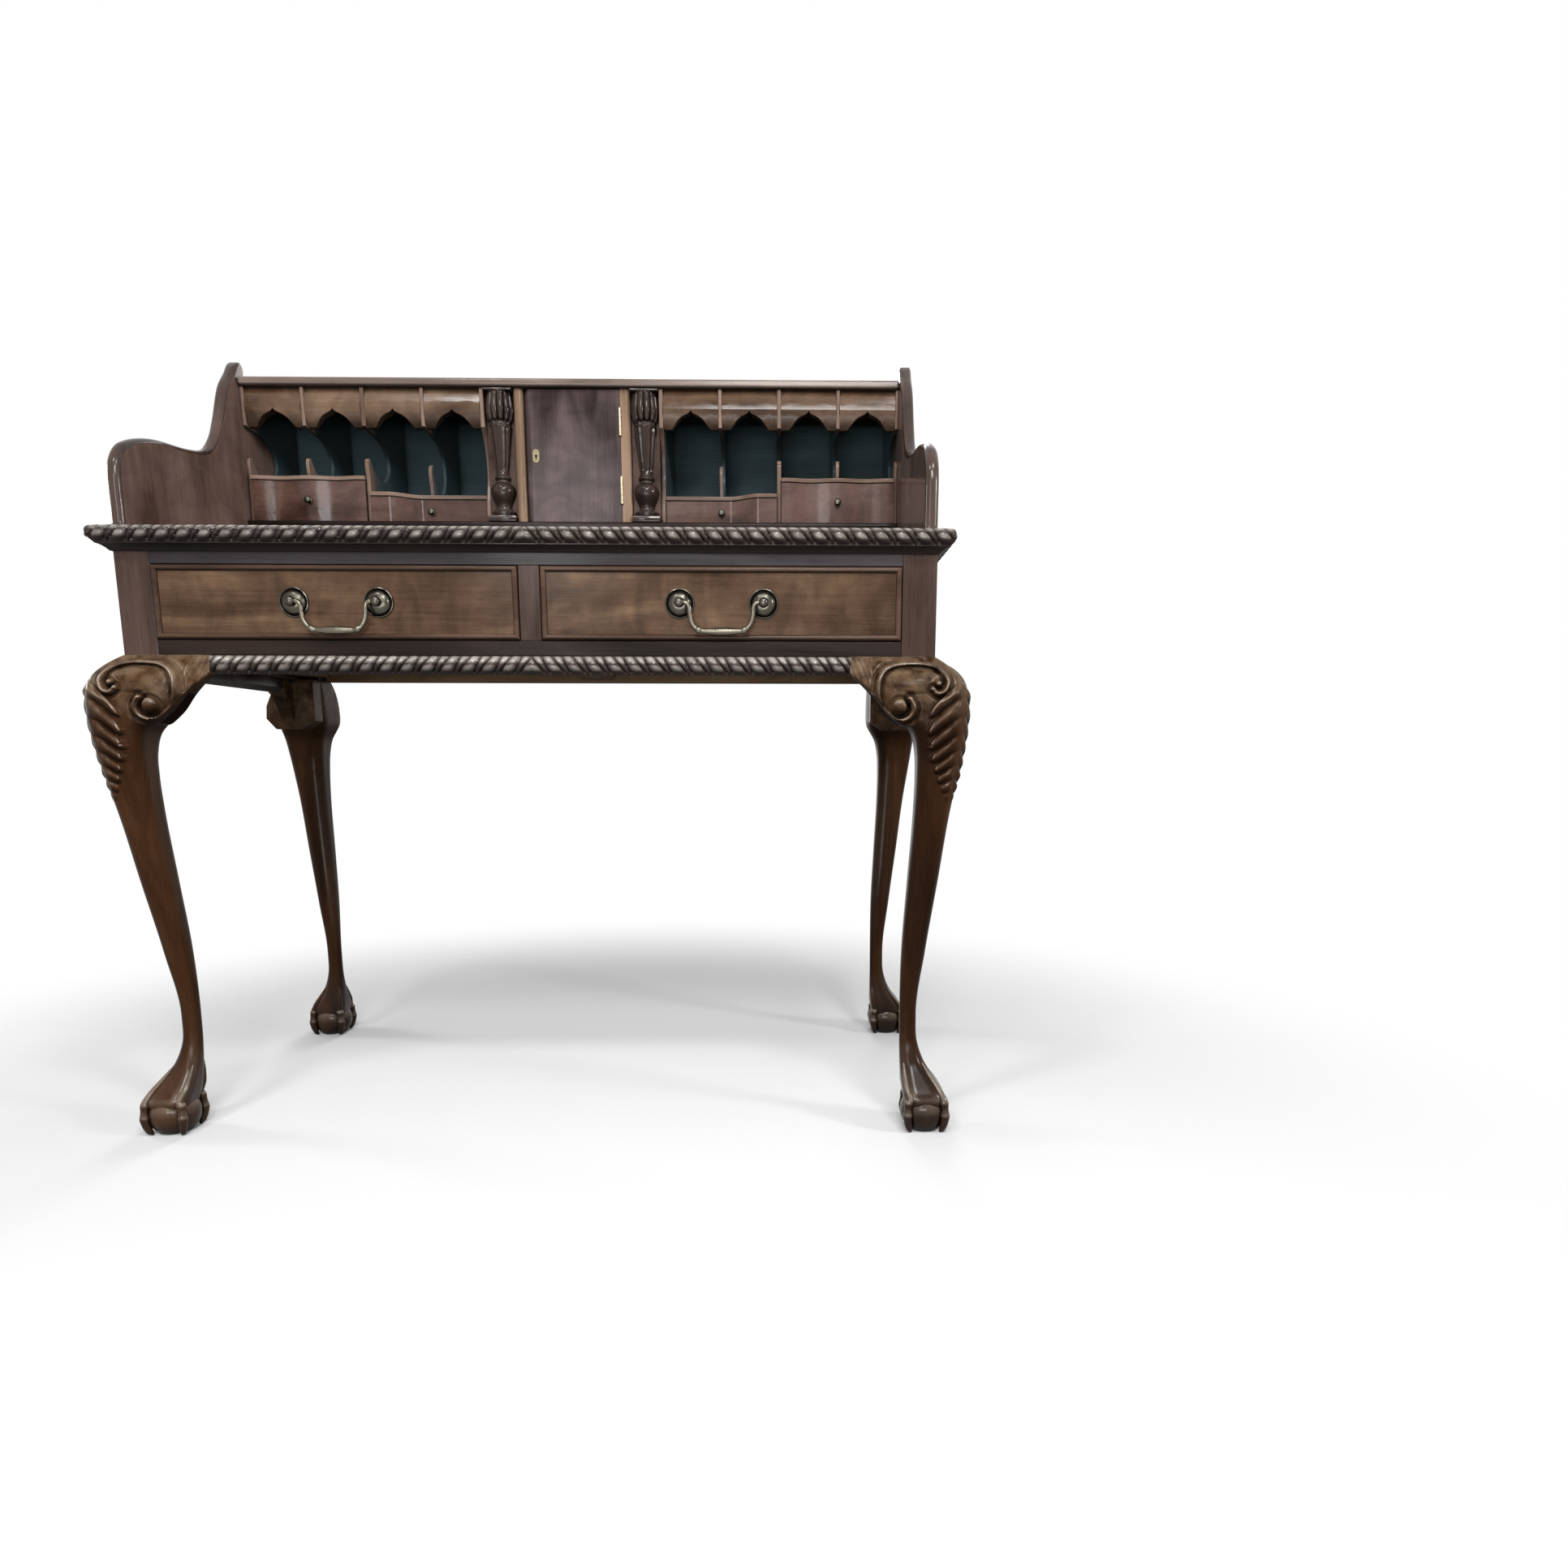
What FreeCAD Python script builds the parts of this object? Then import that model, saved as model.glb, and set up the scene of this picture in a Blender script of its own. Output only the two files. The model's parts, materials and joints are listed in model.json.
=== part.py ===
import FreeCAD, Part
import math
import os

# Bonheur du jour: a two-drawer writing table on cabriole legs, with a pigeonhole gallery on its back half.
# Millimetres, +Z up. The front faces -Y and the origin is on the floor below the middle of the frieze.

# Overall sizes
desk_width = 995.0
desk_depth = 470.0
leg_height = 612.0
frieze_height = 128.0
top_thickness = 22.0
gallery_height = 293.0
bank_depth = 160.0

# Legs and knee brackets
post_width = 42.5
ball_radius = 30.0
ball_floor_share = 0.93
leg_section_shares = (
    # height, inner faces, outer faces and corner rounding; faces are in post widths from the frieze corner
    (1.000, -1.00, 0.00, 0.04),
    (0.987, -1.00, 0.26, 0.10),
    (0.964, -1.00, 0.60, 0.16),
    (0.928, -1.00, 0.84, 0.20),
    (0.890, -0.97, 0.89, 0.22),
    (0.845, -0.64, 0.86, 0.28),
    (0.805, -0.53, 0.79, 0.30),
    (0.761, -0.51, 0.69, 0.32),
    (0.693, -0.53, 0.53, 0.34),
    (0.540, -0.65, 0.25, 0.38),
    (0.392, -0.76, -0.03, 0.42),
    (0.245, -0.77, -0.25, 0.46),
    (0.180, -0.76, -0.19, 0.46),
    (0.140, -0.75, -0.02, 0.44),
    (0.110, -0.72, 0.22, 0.42),
    (0.085, -0.66, 0.44, 0.42),
    (0.060, -0.58, 0.55, 0.42),
)
talon_shares = (
    # reach, height and thickness, in ball radii from the middle of the ball's foot
    (0.00, 2.50, 0.20),
    (0.36, 2.08, 0.25),
    (0.72, 1.72, 0.27),
    (1.02, 1.38, 0.28),
    (1.16, 1.00, 0.25),
    (1.17, 0.62, 0.22),
    (1.11, 0.28, 0.16),
    (1.02, 0.12, 0.10),
)
talon_count = 4
bracket_length = 63.0
bracket_height = 84.0
bracket_depth = 20.0
bracket_proud = 12.0
bracket_curve_shares = ((1.00, 0.27), (0.72, 0.45), (0.55, 0.60), (0.36, 0.78), (0.17, 0.92), (-0.40, 1.00))
back_bracket_shares = ((1.00, 0.27), (0.80, 0.36), (0.60, 0.55), (0.43, 0.80))
back_knee_shares = (
    # distance out from the frieze corner in post widths, drop below the frieze in bracket heights
    (-1.00, 0.00),
    (0.00, 0.00),
    (0.28, 0.10),
    (0.61, 0.26),
    (0.83, 0.50),
    (0.87, 0.74),
    (0.52, 0.94),
    (-0.52, 0.94),
    (-1.00, 0.78),
)

# Frieze frame
top_rail_height = 21.6
bottom_rail_height = 18.0
divider_width = 26.0
side_rail_thickness = 20.0
back_rail_thickness = 20.0
runner_thickness = 12.0
runner_overlap = 15.0
guide_height = 25.0
glue_block_size = 18.0
glue_block_length = 60.0
side_block_places_shares = (-0.5, 0.5)
back_block_places_shares = (-0.6, 0.0, 0.6)

# Table top and its mouldings
top_overhang = 6.0
gadroon_projection = 14.0
gadroon_drop = 2.0
gadroon_quirk = 1.0
cove_height = 7.0
apron_height = 23.0
apron_proud = 8.0
apron_depth = 20.0

# Frieze drawers
drawer_clearance = 0.8
running_gap = 0.3
drawer_front_thickness = 20.0
bead_width = 7.0
bead_proud = 3.5
bead_rebate = 4.0
drawer_back_gap = 50.0
drawer_wall = 10.0
drawer_side_height = 75.0
drawer_back_height = 62.0
drawer_bottom_thickness = 5.0
drawer_bottom_rise = 6.0

# Bail handles
handle_spacing = 102.5
rosette_radius = 15.0
rosette_thickness = 4.0
post_shank_radius = 2.0
post_neck_radius = 3.4
post_neck_length = 2.5
post_head_radius = 5.0
shank_clearance = 0.05
nut_radius = 5.0
nut_thickness = 3.5
shank_tail = 2.5
bail_wire_radius = 2.3
bail_pin_radius = 1.8
bail_pin_length = 4.0
bail_drop = 34.0
bail_bar_half = 27.5
bail_shoulder = 8.0
bail_bend_share = 0.85
bail_bead_radius = 3.6

# Gallery carcase
panel_thickness = 16.5
panel_front_rise = 51.0
panel_curve_shares = (
    # distance behind the front edge in desk depths, height above the table in gallery heights
    (0.012, 0.270),
    (0.055, 0.345),
    (0.170, 0.412),
    (0.345, 0.452),
    (0.432, 0.491),
    (0.485, 0.570),
    (0.518, 0.668),
    (0.564, 0.840),
    (0.609, 0.930),
    (0.638, 0.980),
    (0.660, 1.000),
    (0.674, 0.988),
    (0.680, 0.958),
)
gallery_top_thickness = 12.0
gallery_top_drop = 23.0
gallery_top_lip = 6.0
gallery_back_thickness = 8.0
gallery_back_inset = 2.0
base_height = 72.0
base_thickness = 12.0
base_lip = 8.0
plinth_thickness = 14.0
plinth_setback = 6.0

# Pigeonholes: partitions, dividers, shelves and valances
partition_thickness = 6.0
divider_thickness = 5.0
lining_thickness = 5.0
outer_drawer_space = 58.0
inner_drawer_space = 36.0
shelf_thickness = 6.0
shelf_lip = 2.0
valance_height = 53.0
valance_thickness = 16.0
valance_bulge = 8.0
valance_foot = 12.0
valance_arch_rise = 25.0
valance_clearance = 0.2
valance_arch_shares = ((0.00, 0.00), (0.20, 0.28), (0.45, 0.57), (0.72, 0.73), (0.90, 0.83), (1.00, 1.00))
valance_profile_shares = ((0.75, 1.00), (0.35, 0.80), (0.00, 0.50), (0.25, 0.25), (1.10, 0.00))
partition_cut_share = 0.55
outer_cut_shares = (
    (0.02, 1.00), (0.40, 0.96), (0.88, 0.80), (1.00, 0.48), (0.80, 0.16), (0.42, 0.10), (0.13, 0.38)
)
outer_horn_shares = ((0.13, 0.38), (0.05, 0.34), (0.03, 0.20), (0.06, 0.00))
inner_cut_shares = (
    (0.02, 1.00), (0.40, 0.97), (0.88, 0.82), (1.00, 0.50), (0.86, 0.18), (0.55, 0.14), (0.33, 0.50)
)
inner_horn_shares = ((0.33, 0.50), (0.25, 0.44), (0.24, 0.22), (0.28, 0.00))
tall_edge_shares = ((0.02, 1.00), (0.20, 0.82), (0.28, 0.52), (0.20, 0.30), (0.18, 0.00))

# Small drawers
small_front_thickness = 14.0
serpentine_depth = 4.0
serpentine_shares = (
    (-0.50, 0.0), (-0.42, 0.0), (-0.26, 1.0), (0.00, -0.1), (0.26, 1.0), (0.42, 0.0), (0.50, 0.0)
)
block_step = 20.0
block_flat_share = 0.06
block_end_share = 0.36
small_clearance = 0.5
small_wall = 5.0
small_side_drop = 6.0
small_back_gap = 22.0
knob_radius = 5.0
knob_neck_radius = 2.2
knob_length = 9.0
knob_shank_radius = 1.4

# Cupboard door, hinges and lock
door_width = 142.0
door_gap = 0.6
door_thickness = 12.0
door_setback = 2.0
cupboard_wall = 14.5
hinge_length = 38.0
hinge_leaf_depth = 9.0
hinge_leaf_thickness = 1.0
hinge_knuckle_radius = 2.2
hinge_pin_radius = 1.1
hinge_pin_clearance = 0.05
hinge_axis_proud = 1.6
hinge_inset = 26.0
hinge_slot_clearance = 0.2
knuckle_clearance = 0.3
escutcheon_width = 10.0
escutcheon_height = 19.0
escutcheon_thickness = 1.2
keyhole_radius = 1.6
keyhole_slot = 5.0
escutcheon_inset = 16.0
lock_width = 26.0
lock_height = 30.0
lock_depth = 7.0

# Document slides with their half columns
document_bay = 42.5
slide_clearance = 0.5
slide_setback = 12.0
slide_front_thickness = 12.0
slide_wall = 5.0
slide_back_gap = 8.0
slide_top_gap = 2.0
column_slab_height = 8.0
column_slab_depth = 19.0
column_abacus_height = 11.0
column_width_share = 0.87
column_shares = (
    # height between slab and abacus, then radius as a share of the widest
    (0.00, 0.95),
    (0.05, 0.95),
    (0.07, 0.66),
    (0.11, 0.68),
    (0.17, 0.94),
    (0.21, 1.00),
    (0.25, 0.92),
    (0.285, 0.52),
    (0.315, 0.58),
    (0.345, 0.46),
    (0.45, 0.55),
    (0.60, 0.74),
    (0.745, 0.88),
    (0.765, 0.88),
    (0.775, 1.00),
    (1.00, 1.00),
)

# Overrun of every cutting solid past the face it cuts
overrun = 1.0

# Length of a Bezier edge's handles as a share of its chord
handle_share = 1 / 3

# Levels and planes worked out from the sizes above
half_width = desk_width / 2
half_depth = desk_depth / 2
front = -half_depth
frieze_top = leg_height + frieze_height
table_height = frieze_top + top_thickness
drawer_floor = leg_height + bottom_rail_height
drawer_ceiling = frieze_top - top_rail_height
post_inner_x = half_width - post_width
post_inner_y = half_depth - post_width
panel_inner_x = half_width - panel_thickness
back_board_front = half_depth - gallery_back_inset - gallery_back_thickness
bank_front = back_board_front - bank_depth
partition_cut_depth = partition_cut_share * bank_depth
gallery_top_z = table_height + gallery_height - gallery_top_drop
gallery_ceiling = gallery_top_z - gallery_top_thickness
base_top = table_height + base_height
valance_foot_z = gallery_ceiling - valance_height
outer_shelf_z = base_top + outer_drawer_space
inner_shelf_z = base_top + inner_drawer_space
half_opening = door_width / 2
half_partition = partition_thickness / 2
tall_partition_place = half_opening + cupboard_wall + document_bay + half_partition
lining_x = panel_inner_x - lining_thickness
bank_pitch = (lining_x + lining_thickness / 2 - tall_partition_place) / 4
door_face = bank_front + door_setback
slide_face = bank_front + slide_setback

os.makedirs("parts", exist_ok=True)
V = FreeCAD.Vector


def save(name, *solids):
    shape = solids[0] if len(solids) == 1 else Part.makeCompound(list(solids))
    shape.exportStep("parts/%s.step" % name)


def block(x0, x1, y0, y1, z0, z1):
    return Part.makeBox(x1 - x0, y1 - y0, z1 - z0, V(x0, y0, z0))


def polygon(points, sweep):
    return Part.Face(Part.makePolygon(points + points[:1])).extrude(sweep)


def line(a, b):
    return Part.makeLine(a, b)


def curve(points):
    spline = Part.BSplineCurve()
    spline.interpolate(points)
    return spline.toShape()


def smooth(points, start, end):
    # One Bezier edge between each two points. A tangent inside the row is parallel to its neighbours' chord.
    ways = [start] + [(after - before).normalize() for before, after in zip(points, points[2:])] + [end]
    edges = []
    for i, point in enumerate(points[:-1]):
        reach = handle_share * point.distanceToPoint(points[i + 1])
        bezier = Part.BezierCurve()
        target = points[i + 1]
        bezier.setPoles([point, point + ways[i] * reach, target - ways[i + 1] * reach, target])
        edges.append(bezier.toShape())
    return edges


def outline(edges, sweep):
    return Part.Face(Part.Wire(edges)).extrude(sweep)


def profile_edges(profile, origin, out, up):
    # Edges of a flat section: pieces of two points are lines, pieces of three are arcs.
    edges = []
    for piece in profile:
        points = [origin + out * u + up * w for u, w in piece]
        edges.append(line(*points) if len(points) == 2 else Part.Arc(*points).toShape())
    return edges


def turned(profile, origin):
    # A piece turned about the line from origin towards the viewer: distances along it, then radii.
    edges = profile_edges(profile, origin, V(0, -1, 0), V(0, 0, -1))
    return Part.Face(Part.Wire(edges)).revolve(origin, V(0, -1, 0), 360)


def mirrored(shape):
    return shape.mirror(V(0, 0, 0), V(1, 0, 0))


def pair(shape):
    return shape, mirrored(shape)


# Legs: each is cut from one timber, with its square post, cabriole curve and claw-and-ball foot.
def leg_section(height, inner, outer, rounding):
    low_x, high_x = half_width + inner, half_width + outer
    low_y, high_y = half_depth + inner, half_depth + outer
    r = rounding * (outer - inner)
    bow = r * (1 - math.sqrt(0.5))
    corners = (
        (high_x, high_y, 1, 1), (low_x, high_y, -1, 1), (low_x, low_y, -1, -1), (high_x, low_y, 1, -1)
    )
    edges = []
    last = V(high_x, low_y + r, height)
    for x, y, sx, sy in corners:
        beside = V(x, y - sy * r, height)
        above = V(x - sx * r, y, height)
        start, end = (beside, above) if sx == sy else (above, beside)
        edges.append(line(last, start))
        edges.append(Part.Arc(start, V(x - sx * bow, y - sy * bow, height), end).toShape())
        last = end
    return Part.Wire(edges)


def talon(angle):
    across = V(math.cos(angle), math.sin(angle), 0)
    foot = V(half_width, half_depth, 0)
    path = []
    for out, height, _ in talon_shares:
        path.append(foot + across * (out * ball_radius) + V(0, 0, height * ball_radius))
    rings = []
    for i, (_, _, thickness) in enumerate(talon_shares):
        along = path[min(i + 1, len(path) - 1)] - path[max(i - 1, 0)]
        rings.append(Part.Wire(Part.makeCircle(thickness * ball_radius, path[i], along)))
    return Part.makeLoft(rings, True)


def make_leg():
    sections = [
        leg_section(h * leg_height, a * post_width, b * post_width, r) for h, a, b, r in leg_section_shares
    ]
    shaft = Part.makeLoft(sections, True)
    post = block(post_inner_x, half_width, post_inner_y, half_depth, leg_height, frieze_top)
    ball = Part.makeSphere(ball_radius, V(half_width, half_depth, ball_floor_share * ball_radius))
    talons = [talon(math.pi / 4 + i * 2 * math.pi / talon_count) for i in range(talon_count)]
    whole = post.fuse([shaft, ball] + talons)
    span = leg_height
    room = Part.makeBox(span, span, frieze_top, V(half_width - span / 2, half_depth - span / 2, 0))
    return whole.common(room).Solids[0]


leg = make_leg()
leg_front = leg.mirror(V(0, 0, 0), V(0, 1, 0))
save("leg_back_right", leg)
save("leg_back_left", mirrored(leg))
save("leg_front_right", leg_front)
save("leg_front_left", mirrored(leg_front))


# Knee brackets: ear pieces glued below the rails, two at each front knee and one at each back knee.
def bracket_outline(origin, along, shares):
    points = []
    for u, w in shares:
        points.append(origin + along * (u * bracket_length) - V(0, 0, w * bracket_height))
    toe = origin + along * (shares[-1][0] * bracket_length)
    tip = origin + along * bracket_length
    return [line(tip, points[0]), curve(points), line(points[-1], toe), line(toe, tip)]


def side_bracket(shares):
    origin = V(half_width + bracket_proud - bracket_depth, -post_inner_y, leg_height)
    return outline(bracket_outline(origin, V(0, 1, 0), shares), V(bracket_depth, 0, 0))


front_origin = V(post_inner_x, front - bracket_proud, leg_height)
front_bracket = outline(
    bracket_outline(front_origin, V(-1, 0, 0), bracket_curve_shares), V(0, bracket_depth, 0)
).cut(leg_front)
front_side_bracket = side_bracket(bracket_curve_shares).cut(leg_front).cut(front_bracket)
knee_points = []
for out, drop in back_knee_shares:
    knee_points.append(V(half_width + out * post_width, -post_inner_y, leg_height - drop * bracket_height))
back_knee_length = back_bracket_shares[-1][0] * bracket_length
back_knee = polygon(knee_points, V(0, back_knee_length, 0))
back_side_bracket = side_bracket(back_bracket_shares).fuse(back_knee).cut(leg_front).removeSplitter()
back_side_bracket = back_side_bracket.mirror(V(0, 0, 0), V(0, 1, 0))
save("knee_brackets", *pair(front_bracket), *pair(front_side_bracket), *pair(back_side_bracket))

# Frieze frame: rails tenoned between the posts, the drawer divider, runners with their guides, glue blocks.
rail_back = -post_inner_y
save("front_top_rail", block(-post_inner_x, post_inner_x, front, rail_back, drawer_ceiling, frieze_top))
save("front_bottom_rail", block(-post_inner_x, post_inner_x, front, rail_back, leg_height, drawer_floor))
half_divider = divider_width / 2
save("drawer_divider", block(-half_divider, half_divider, front, rail_back, drawer_floor, drawer_ceiling))
side_rail_inner = half_width - side_rail_thickness
side_rail = block(side_rail_inner, half_width, -post_inner_y, post_inner_y, leg_height, frieze_top)
save("side_rails", *pair(side_rail))
back_rail_front = half_depth - back_rail_thickness
save("back_rail", block(-post_inner_x, post_inner_x, back_rail_front, half_depth, leg_height, frieze_top))

runner_base = drawer_floor - runner_thickness
guide_top = drawer_floor + guide_height
side_runner = block(
    post_inner_x - runner_overlap, side_rail_inner, rail_back, post_inner_y, runner_base, drawer_floor
)
middle_runner_half = half_divider + runner_overlap
middle_runner = block(
    -middle_runner_half, middle_runner_half, rail_back, back_rail_front, runner_base, drawer_floor
)
side_guide = block(post_inner_x, side_rail_inner, rail_back, post_inner_y, drawer_floor, guide_top)
middle_guide = block(-half_divider, half_divider, rail_back, back_rail_front, drawer_floor, guide_top)
save("drawer_runners", *pair(side_runner), middle_runner, *pair(side_guide), middle_guide)

block_base = frieze_top - glue_block_size
half_block = glue_block_length / 2
side_block_x = side_rail_inner - glue_block_size
back_block_y = back_rail_front - glue_block_size
glue_blocks = []
for share in side_block_places_shares:
    y = share * post_inner_y
    glue_blocks.extend(
        pair(block(side_block_x, side_rail_inner, y - half_block, y + half_block, block_base, frieze_top))
    )
for share in back_block_places_shares:
    x = share * post_inner_x
    low_x, high_x = x - half_block, x + half_block
    glue_blocks.append(block(low_x, high_x, back_block_y, back_rail_front, block_base, frieze_top))
save("glue_blocks", *glue_blocks)

# Table top: one board, with gadroon strips planted on its front and side edges and mitred at the corners.
edge_x = half_width + top_overhang
edge_front = front - top_overhang
save("table_top", block(-edge_x, edge_x, edge_front, half_depth, frieze_top, table_height))


def moulding(profile, origin, out, sweep):
    return outline(profile_edges(profile, origin, out, V(0, 0, 1)), sweep)


def gadroon_profile():
    top = top_thickness - gadroon_drop
    low = gadroon_quirk
    mid = (top + low) / 2
    out = top_overhang + gadroon_projection
    lip = top_overhang + gadroon_projection / 2
    hollow = lip / 3
    sunk = -cove_height * 2 / 3
    foot = cove_height / 3
    return (
        ((top_overhang, 0), (top_overhang, top)),
        ((top_overhang, top), (out, mid), (lip, low)),
        ((lip, low), (lip, 0)),
        ((lip, 0), (hollow, sunk), (foot, -cove_height)),
        ((foot, -cove_height), (0, -cove_height)),
        ((0, -cove_height), (0, 0)),
        ((0, 0), (top_overhang, 0)),
    )


reach = top_overhang + gadroon_projection
front_strip = moulding(
    gadroon_profile(), V(-half_width - reach, front, frieze_top), V(0, -1, 0), V(desk_width + 2 * reach, 0, 0)
)
side_strip = moulding(
    gadroon_profile(), V(half_width, front - reach, frieze_top), V(1, 0, 0), V(0, desk_depth + reach, 0)
)
mitre_low = frieze_top - cove_height - overrun
mitre_height = table_height - mitre_low + overrun
far = desk_depth
mitre = polygon(
    [V(half_width - far, front + far, mitre_low), V(half_width + far, front - far, mitre_low),
     V(half_width + far, front + far, mitre_low)],
    V(0, 0, mitre_height),
)
front_strip = front_strip.cut(mitre).cut(mirrored(mitre))
side_strip = side_strip.common(mitre)
save("top_gadroon", front_strip, *pair(side_strip))


# Apron mouldings below the front and side rails, between the knee brackets.
def apron_profile():
    back = apron_proud - apron_depth
    return (
        ((back, 0), (0, 0)),
        ((0, 0), (apron_proud, -apron_height / 2), (0, -apron_height)),
        ((0, -apron_height), (back, -apron_height * 2 / 3)),
        ((back, -apron_height * 2 / 3), (back, 0)),
    )


apron_x = post_inner_x - bracket_length
apron_y = post_inner_y - bracket_length
front_apron = moulding(
    apron_profile(), V(-apron_x, front, leg_height), V(0, -1, 0), V(2 * apron_x, 0, 0)
)
side_apron = moulding(
    apron_profile(), V(half_width, -apron_y, leg_height), V(1, 0, 0), V(0, 2 * apron_y, 0)
)
save("apron_gadroon", front_apron, *pair(side_apron))

# Frieze drawers: bead-edged fronts with dovetailed sides, a back and a bottom board.
front_left = half_divider + drawer_clearance
front_right = post_inner_x - drawer_clearance
front_low = drawer_floor + drawer_clearance
front_high = drawer_ceiling - drawer_clearance
front_back = front + drawer_front_thickness
drawer_middle = (front_left + front_right) / 2
handle_z = (front_low + front_high) / 2
handle_places = (drawer_middle - handle_spacing / 2, drawer_middle + handle_spacing / 2)


def bead_strip(a, b, inward):
    # A strip from a to b along one edge of the front, its inner edge bead_width inward, mitred at both ends.
    along = (b - a).normalize()
    inner_a = a + (along + inward) * bead_width
    inner_b = b + (inward - along) * bead_width
    depth = bead_proud + bead_rebate
    strip = polygon([a, b, inner_b, inner_a], V(0, -depth, 0))
    radius = bead_width / 2
    middle = a + inward * radius - V(0, depth - radius, 0)
    roll = Part.makeCylinder(radius, (b - a).Length, middle, along)
    shank = polygon([a, b, inner_b, inner_a], V(0, radius - depth, 0))
    return strip.common(roll.fuse(shank))


bead_seat = front + bead_rebate
bead_corners = [
    V(front_left, bead_seat, front_low),
    V(front_right, bead_seat, front_low),
    V(front_right, bead_seat, front_high),
    V(front_left, bead_seat, front_high),
]
bead_inward = (V(0, 0, 1), V(-1, 0, 0), V(0, 0, -1), V(1, 0, 0))
beads = [bead_strip(bead_corners[i], bead_corners[(i + 1) % 4], bead_inward[i]) for i in range(4)]

field_left, field_right = front_left + bead_width, front_right - bead_width
field_low, field_high = front_low + bead_width, front_high - bead_width
drawer_front = block(front_left, front_right, bead_seat, front_back, front_low, front_high).fuse(
    block(field_left, field_right, front, bead_seat, field_low, field_high)
)
hole_radius = post_shank_radius + shank_clearance
for x in handle_places:
    bore_length = drawer_front_thickness + 2 * overrun
    bore = Part.makeCylinder(hole_radius, bore_length, V(x, front - overrun, handle_z), V(0, 1, 0))
    drawer_front = drawer_front.cut(bore)

drawer_end = back_rail_front - drawer_back_gap
side_low = drawer_floor + running_gap
side_high = side_low + drawer_side_height
inner_left = front_left + drawer_wall
inner_right = front_right - drawer_wall
bottom_low = side_low + drawer_bottom_rise
bottom_high = bottom_low + drawer_bottom_thickness
back_high = bottom_low + drawer_back_height
drawer_box = (
    block(front_left, inner_left, front_back, drawer_end, side_low, side_high),
    block(inner_right, front_right, front_back, drawer_end, side_low, side_high),
    block(inner_left, inner_right, drawer_end - drawer_wall, drawer_end, bottom_low, back_high),
    block(inner_left, inner_right, front_back, drawer_end - drawer_wall, bottom_low, bottom_high),
)

# Swan-neck bail handles: two rosettes, two posts with their nuts, and a bail that swings in the posts.
rosette_face = front - rosette_thickness
pivot_y = rosette_face - post_neck_length - post_head_radius


def rosette(x):
    rim = rosette_thickness / 3
    crown = rosette_radius / 2
    profile = (
        ((0, hole_radius), (0, rosette_radius)),
        ((0, rosette_radius), (rim, rosette_radius)),
        ((rim, rosette_radius), (2 * rim, rosette_radius * 2 / 3), (rosette_thickness, crown)),
        ((rosette_thickness, crown), (rosette_thickness, hole_radius)),
        ((rosette_thickness, hole_radius), (0, hole_radius)),
    )
    return turned(profile, V(x, front, handle_z))


def handle_post(x):
    tail = -(drawer_front_thickness + nut_thickness + shank_tail)
    seat = rosette_thickness
    pivot = front - pivot_y
    throat = pivot - math.sqrt(post_head_radius ** 2 - post_neck_radius ** 2)
    profile = (
        ((tail, 0), (tail, post_shank_radius)),
        ((tail, post_shank_radius), (seat, post_shank_radius)),
        ((seat, post_shank_radius), (seat, post_neck_radius)),
        ((seat, post_neck_radius), (throat, post_neck_radius)),
        ((throat, post_neck_radius), (pivot, post_head_radius), (pivot + post_head_radius, 0)),
        ((pivot + post_head_radius, 0), (tail, 0)),
    )
    inward = 1 if x < drawer_middle else -1
    bore_end = V(x - inward * bail_pin_length, pivot_y, handle_z)
    bore_radius = bail_pin_radius + shank_clearance
    bore = Part.makeCylinder(bore_radius, 2 * post_head_radius, bore_end, V(inward, 0, 0))
    return turned(profile, V(x, front, handle_z)).cut(bore)


def handle_nut(x):
    profile = (
        ((0, hole_radius), (0, nut_radius)),
        ((0, nut_radius), (nut_thickness, nut_radius)),
        ((nut_thickness, nut_radius), (nut_thickness, hole_radius)),
        ((nut_thickness, hole_radius), (0, hole_radius)),
    )
    return turned(profile, V(x, front_back + nut_thickness, handle_z))


def bent_path(points, radius):
    edges = []
    last = points[0]
    for before, corner, after in zip(points, points[1:], points[2:]):
        back = (before - corner).normalize()
        ahead = (after - corner).normalize()
        half = back.getAngle(ahead) / 2
        setback = radius / math.tan(half)
        middle = corner + (back + ahead).normalize() * (radius / math.sin(half) - radius)
        start, end = corner + back * setback, corner + ahead * setback
        edges.append(line(last, start))
        edges.append(Part.Arc(start, middle, end).toShape())
        last = end
    edges.append(line(last, points[-1]))
    return Part.Wire(edges)


def make_bail():
    centre = V(drawer_middle, pivot_y, handle_z)
    half = handle_spacing / 2
    bore_start = half - post_head_radius - running_gap
    neck = half - post_head_radius - bail_shoulder
    path = bent_path(
        [
            centre + V(-bore_start, 0, 0),
            centre + V(-neck, 0, 0),
            centre + V(-neck, 0, -bail_drop / 2),
            centre + V(-bail_bar_half, 0, -bail_drop),
            centre + V(bail_bar_half, 0, -bail_drop),
            centre + V(neck, 0, -bail_drop / 2),
            centre + V(neck, 0, 0),
            centre + V(bore_start, 0, 0),
        ],
        bail_bend_share * bail_shoulder,
    )
    section = Part.Wire(Part.makeCircle(bail_wire_radius, centre + V(-bore_start, 0, 0), V(1, 0, 0)))
    wire = path.makePipeShell([section], True, True)
    bead = Part.makeSphere(bail_bead_radius, centre + V(0, 0, -bail_drop), V(1, 0, 0))
    pin_start = half + bail_pin_length - running_gap
    pins = [
        Part.makeCylinder(bail_pin_radius, pin_start - bore_start, centre + V(s * pin_start, 0, 0), V(-s, 0, 0))
        for s in (-1, 1)
    ]
    return wire.fuse([bead] + pins)


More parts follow.
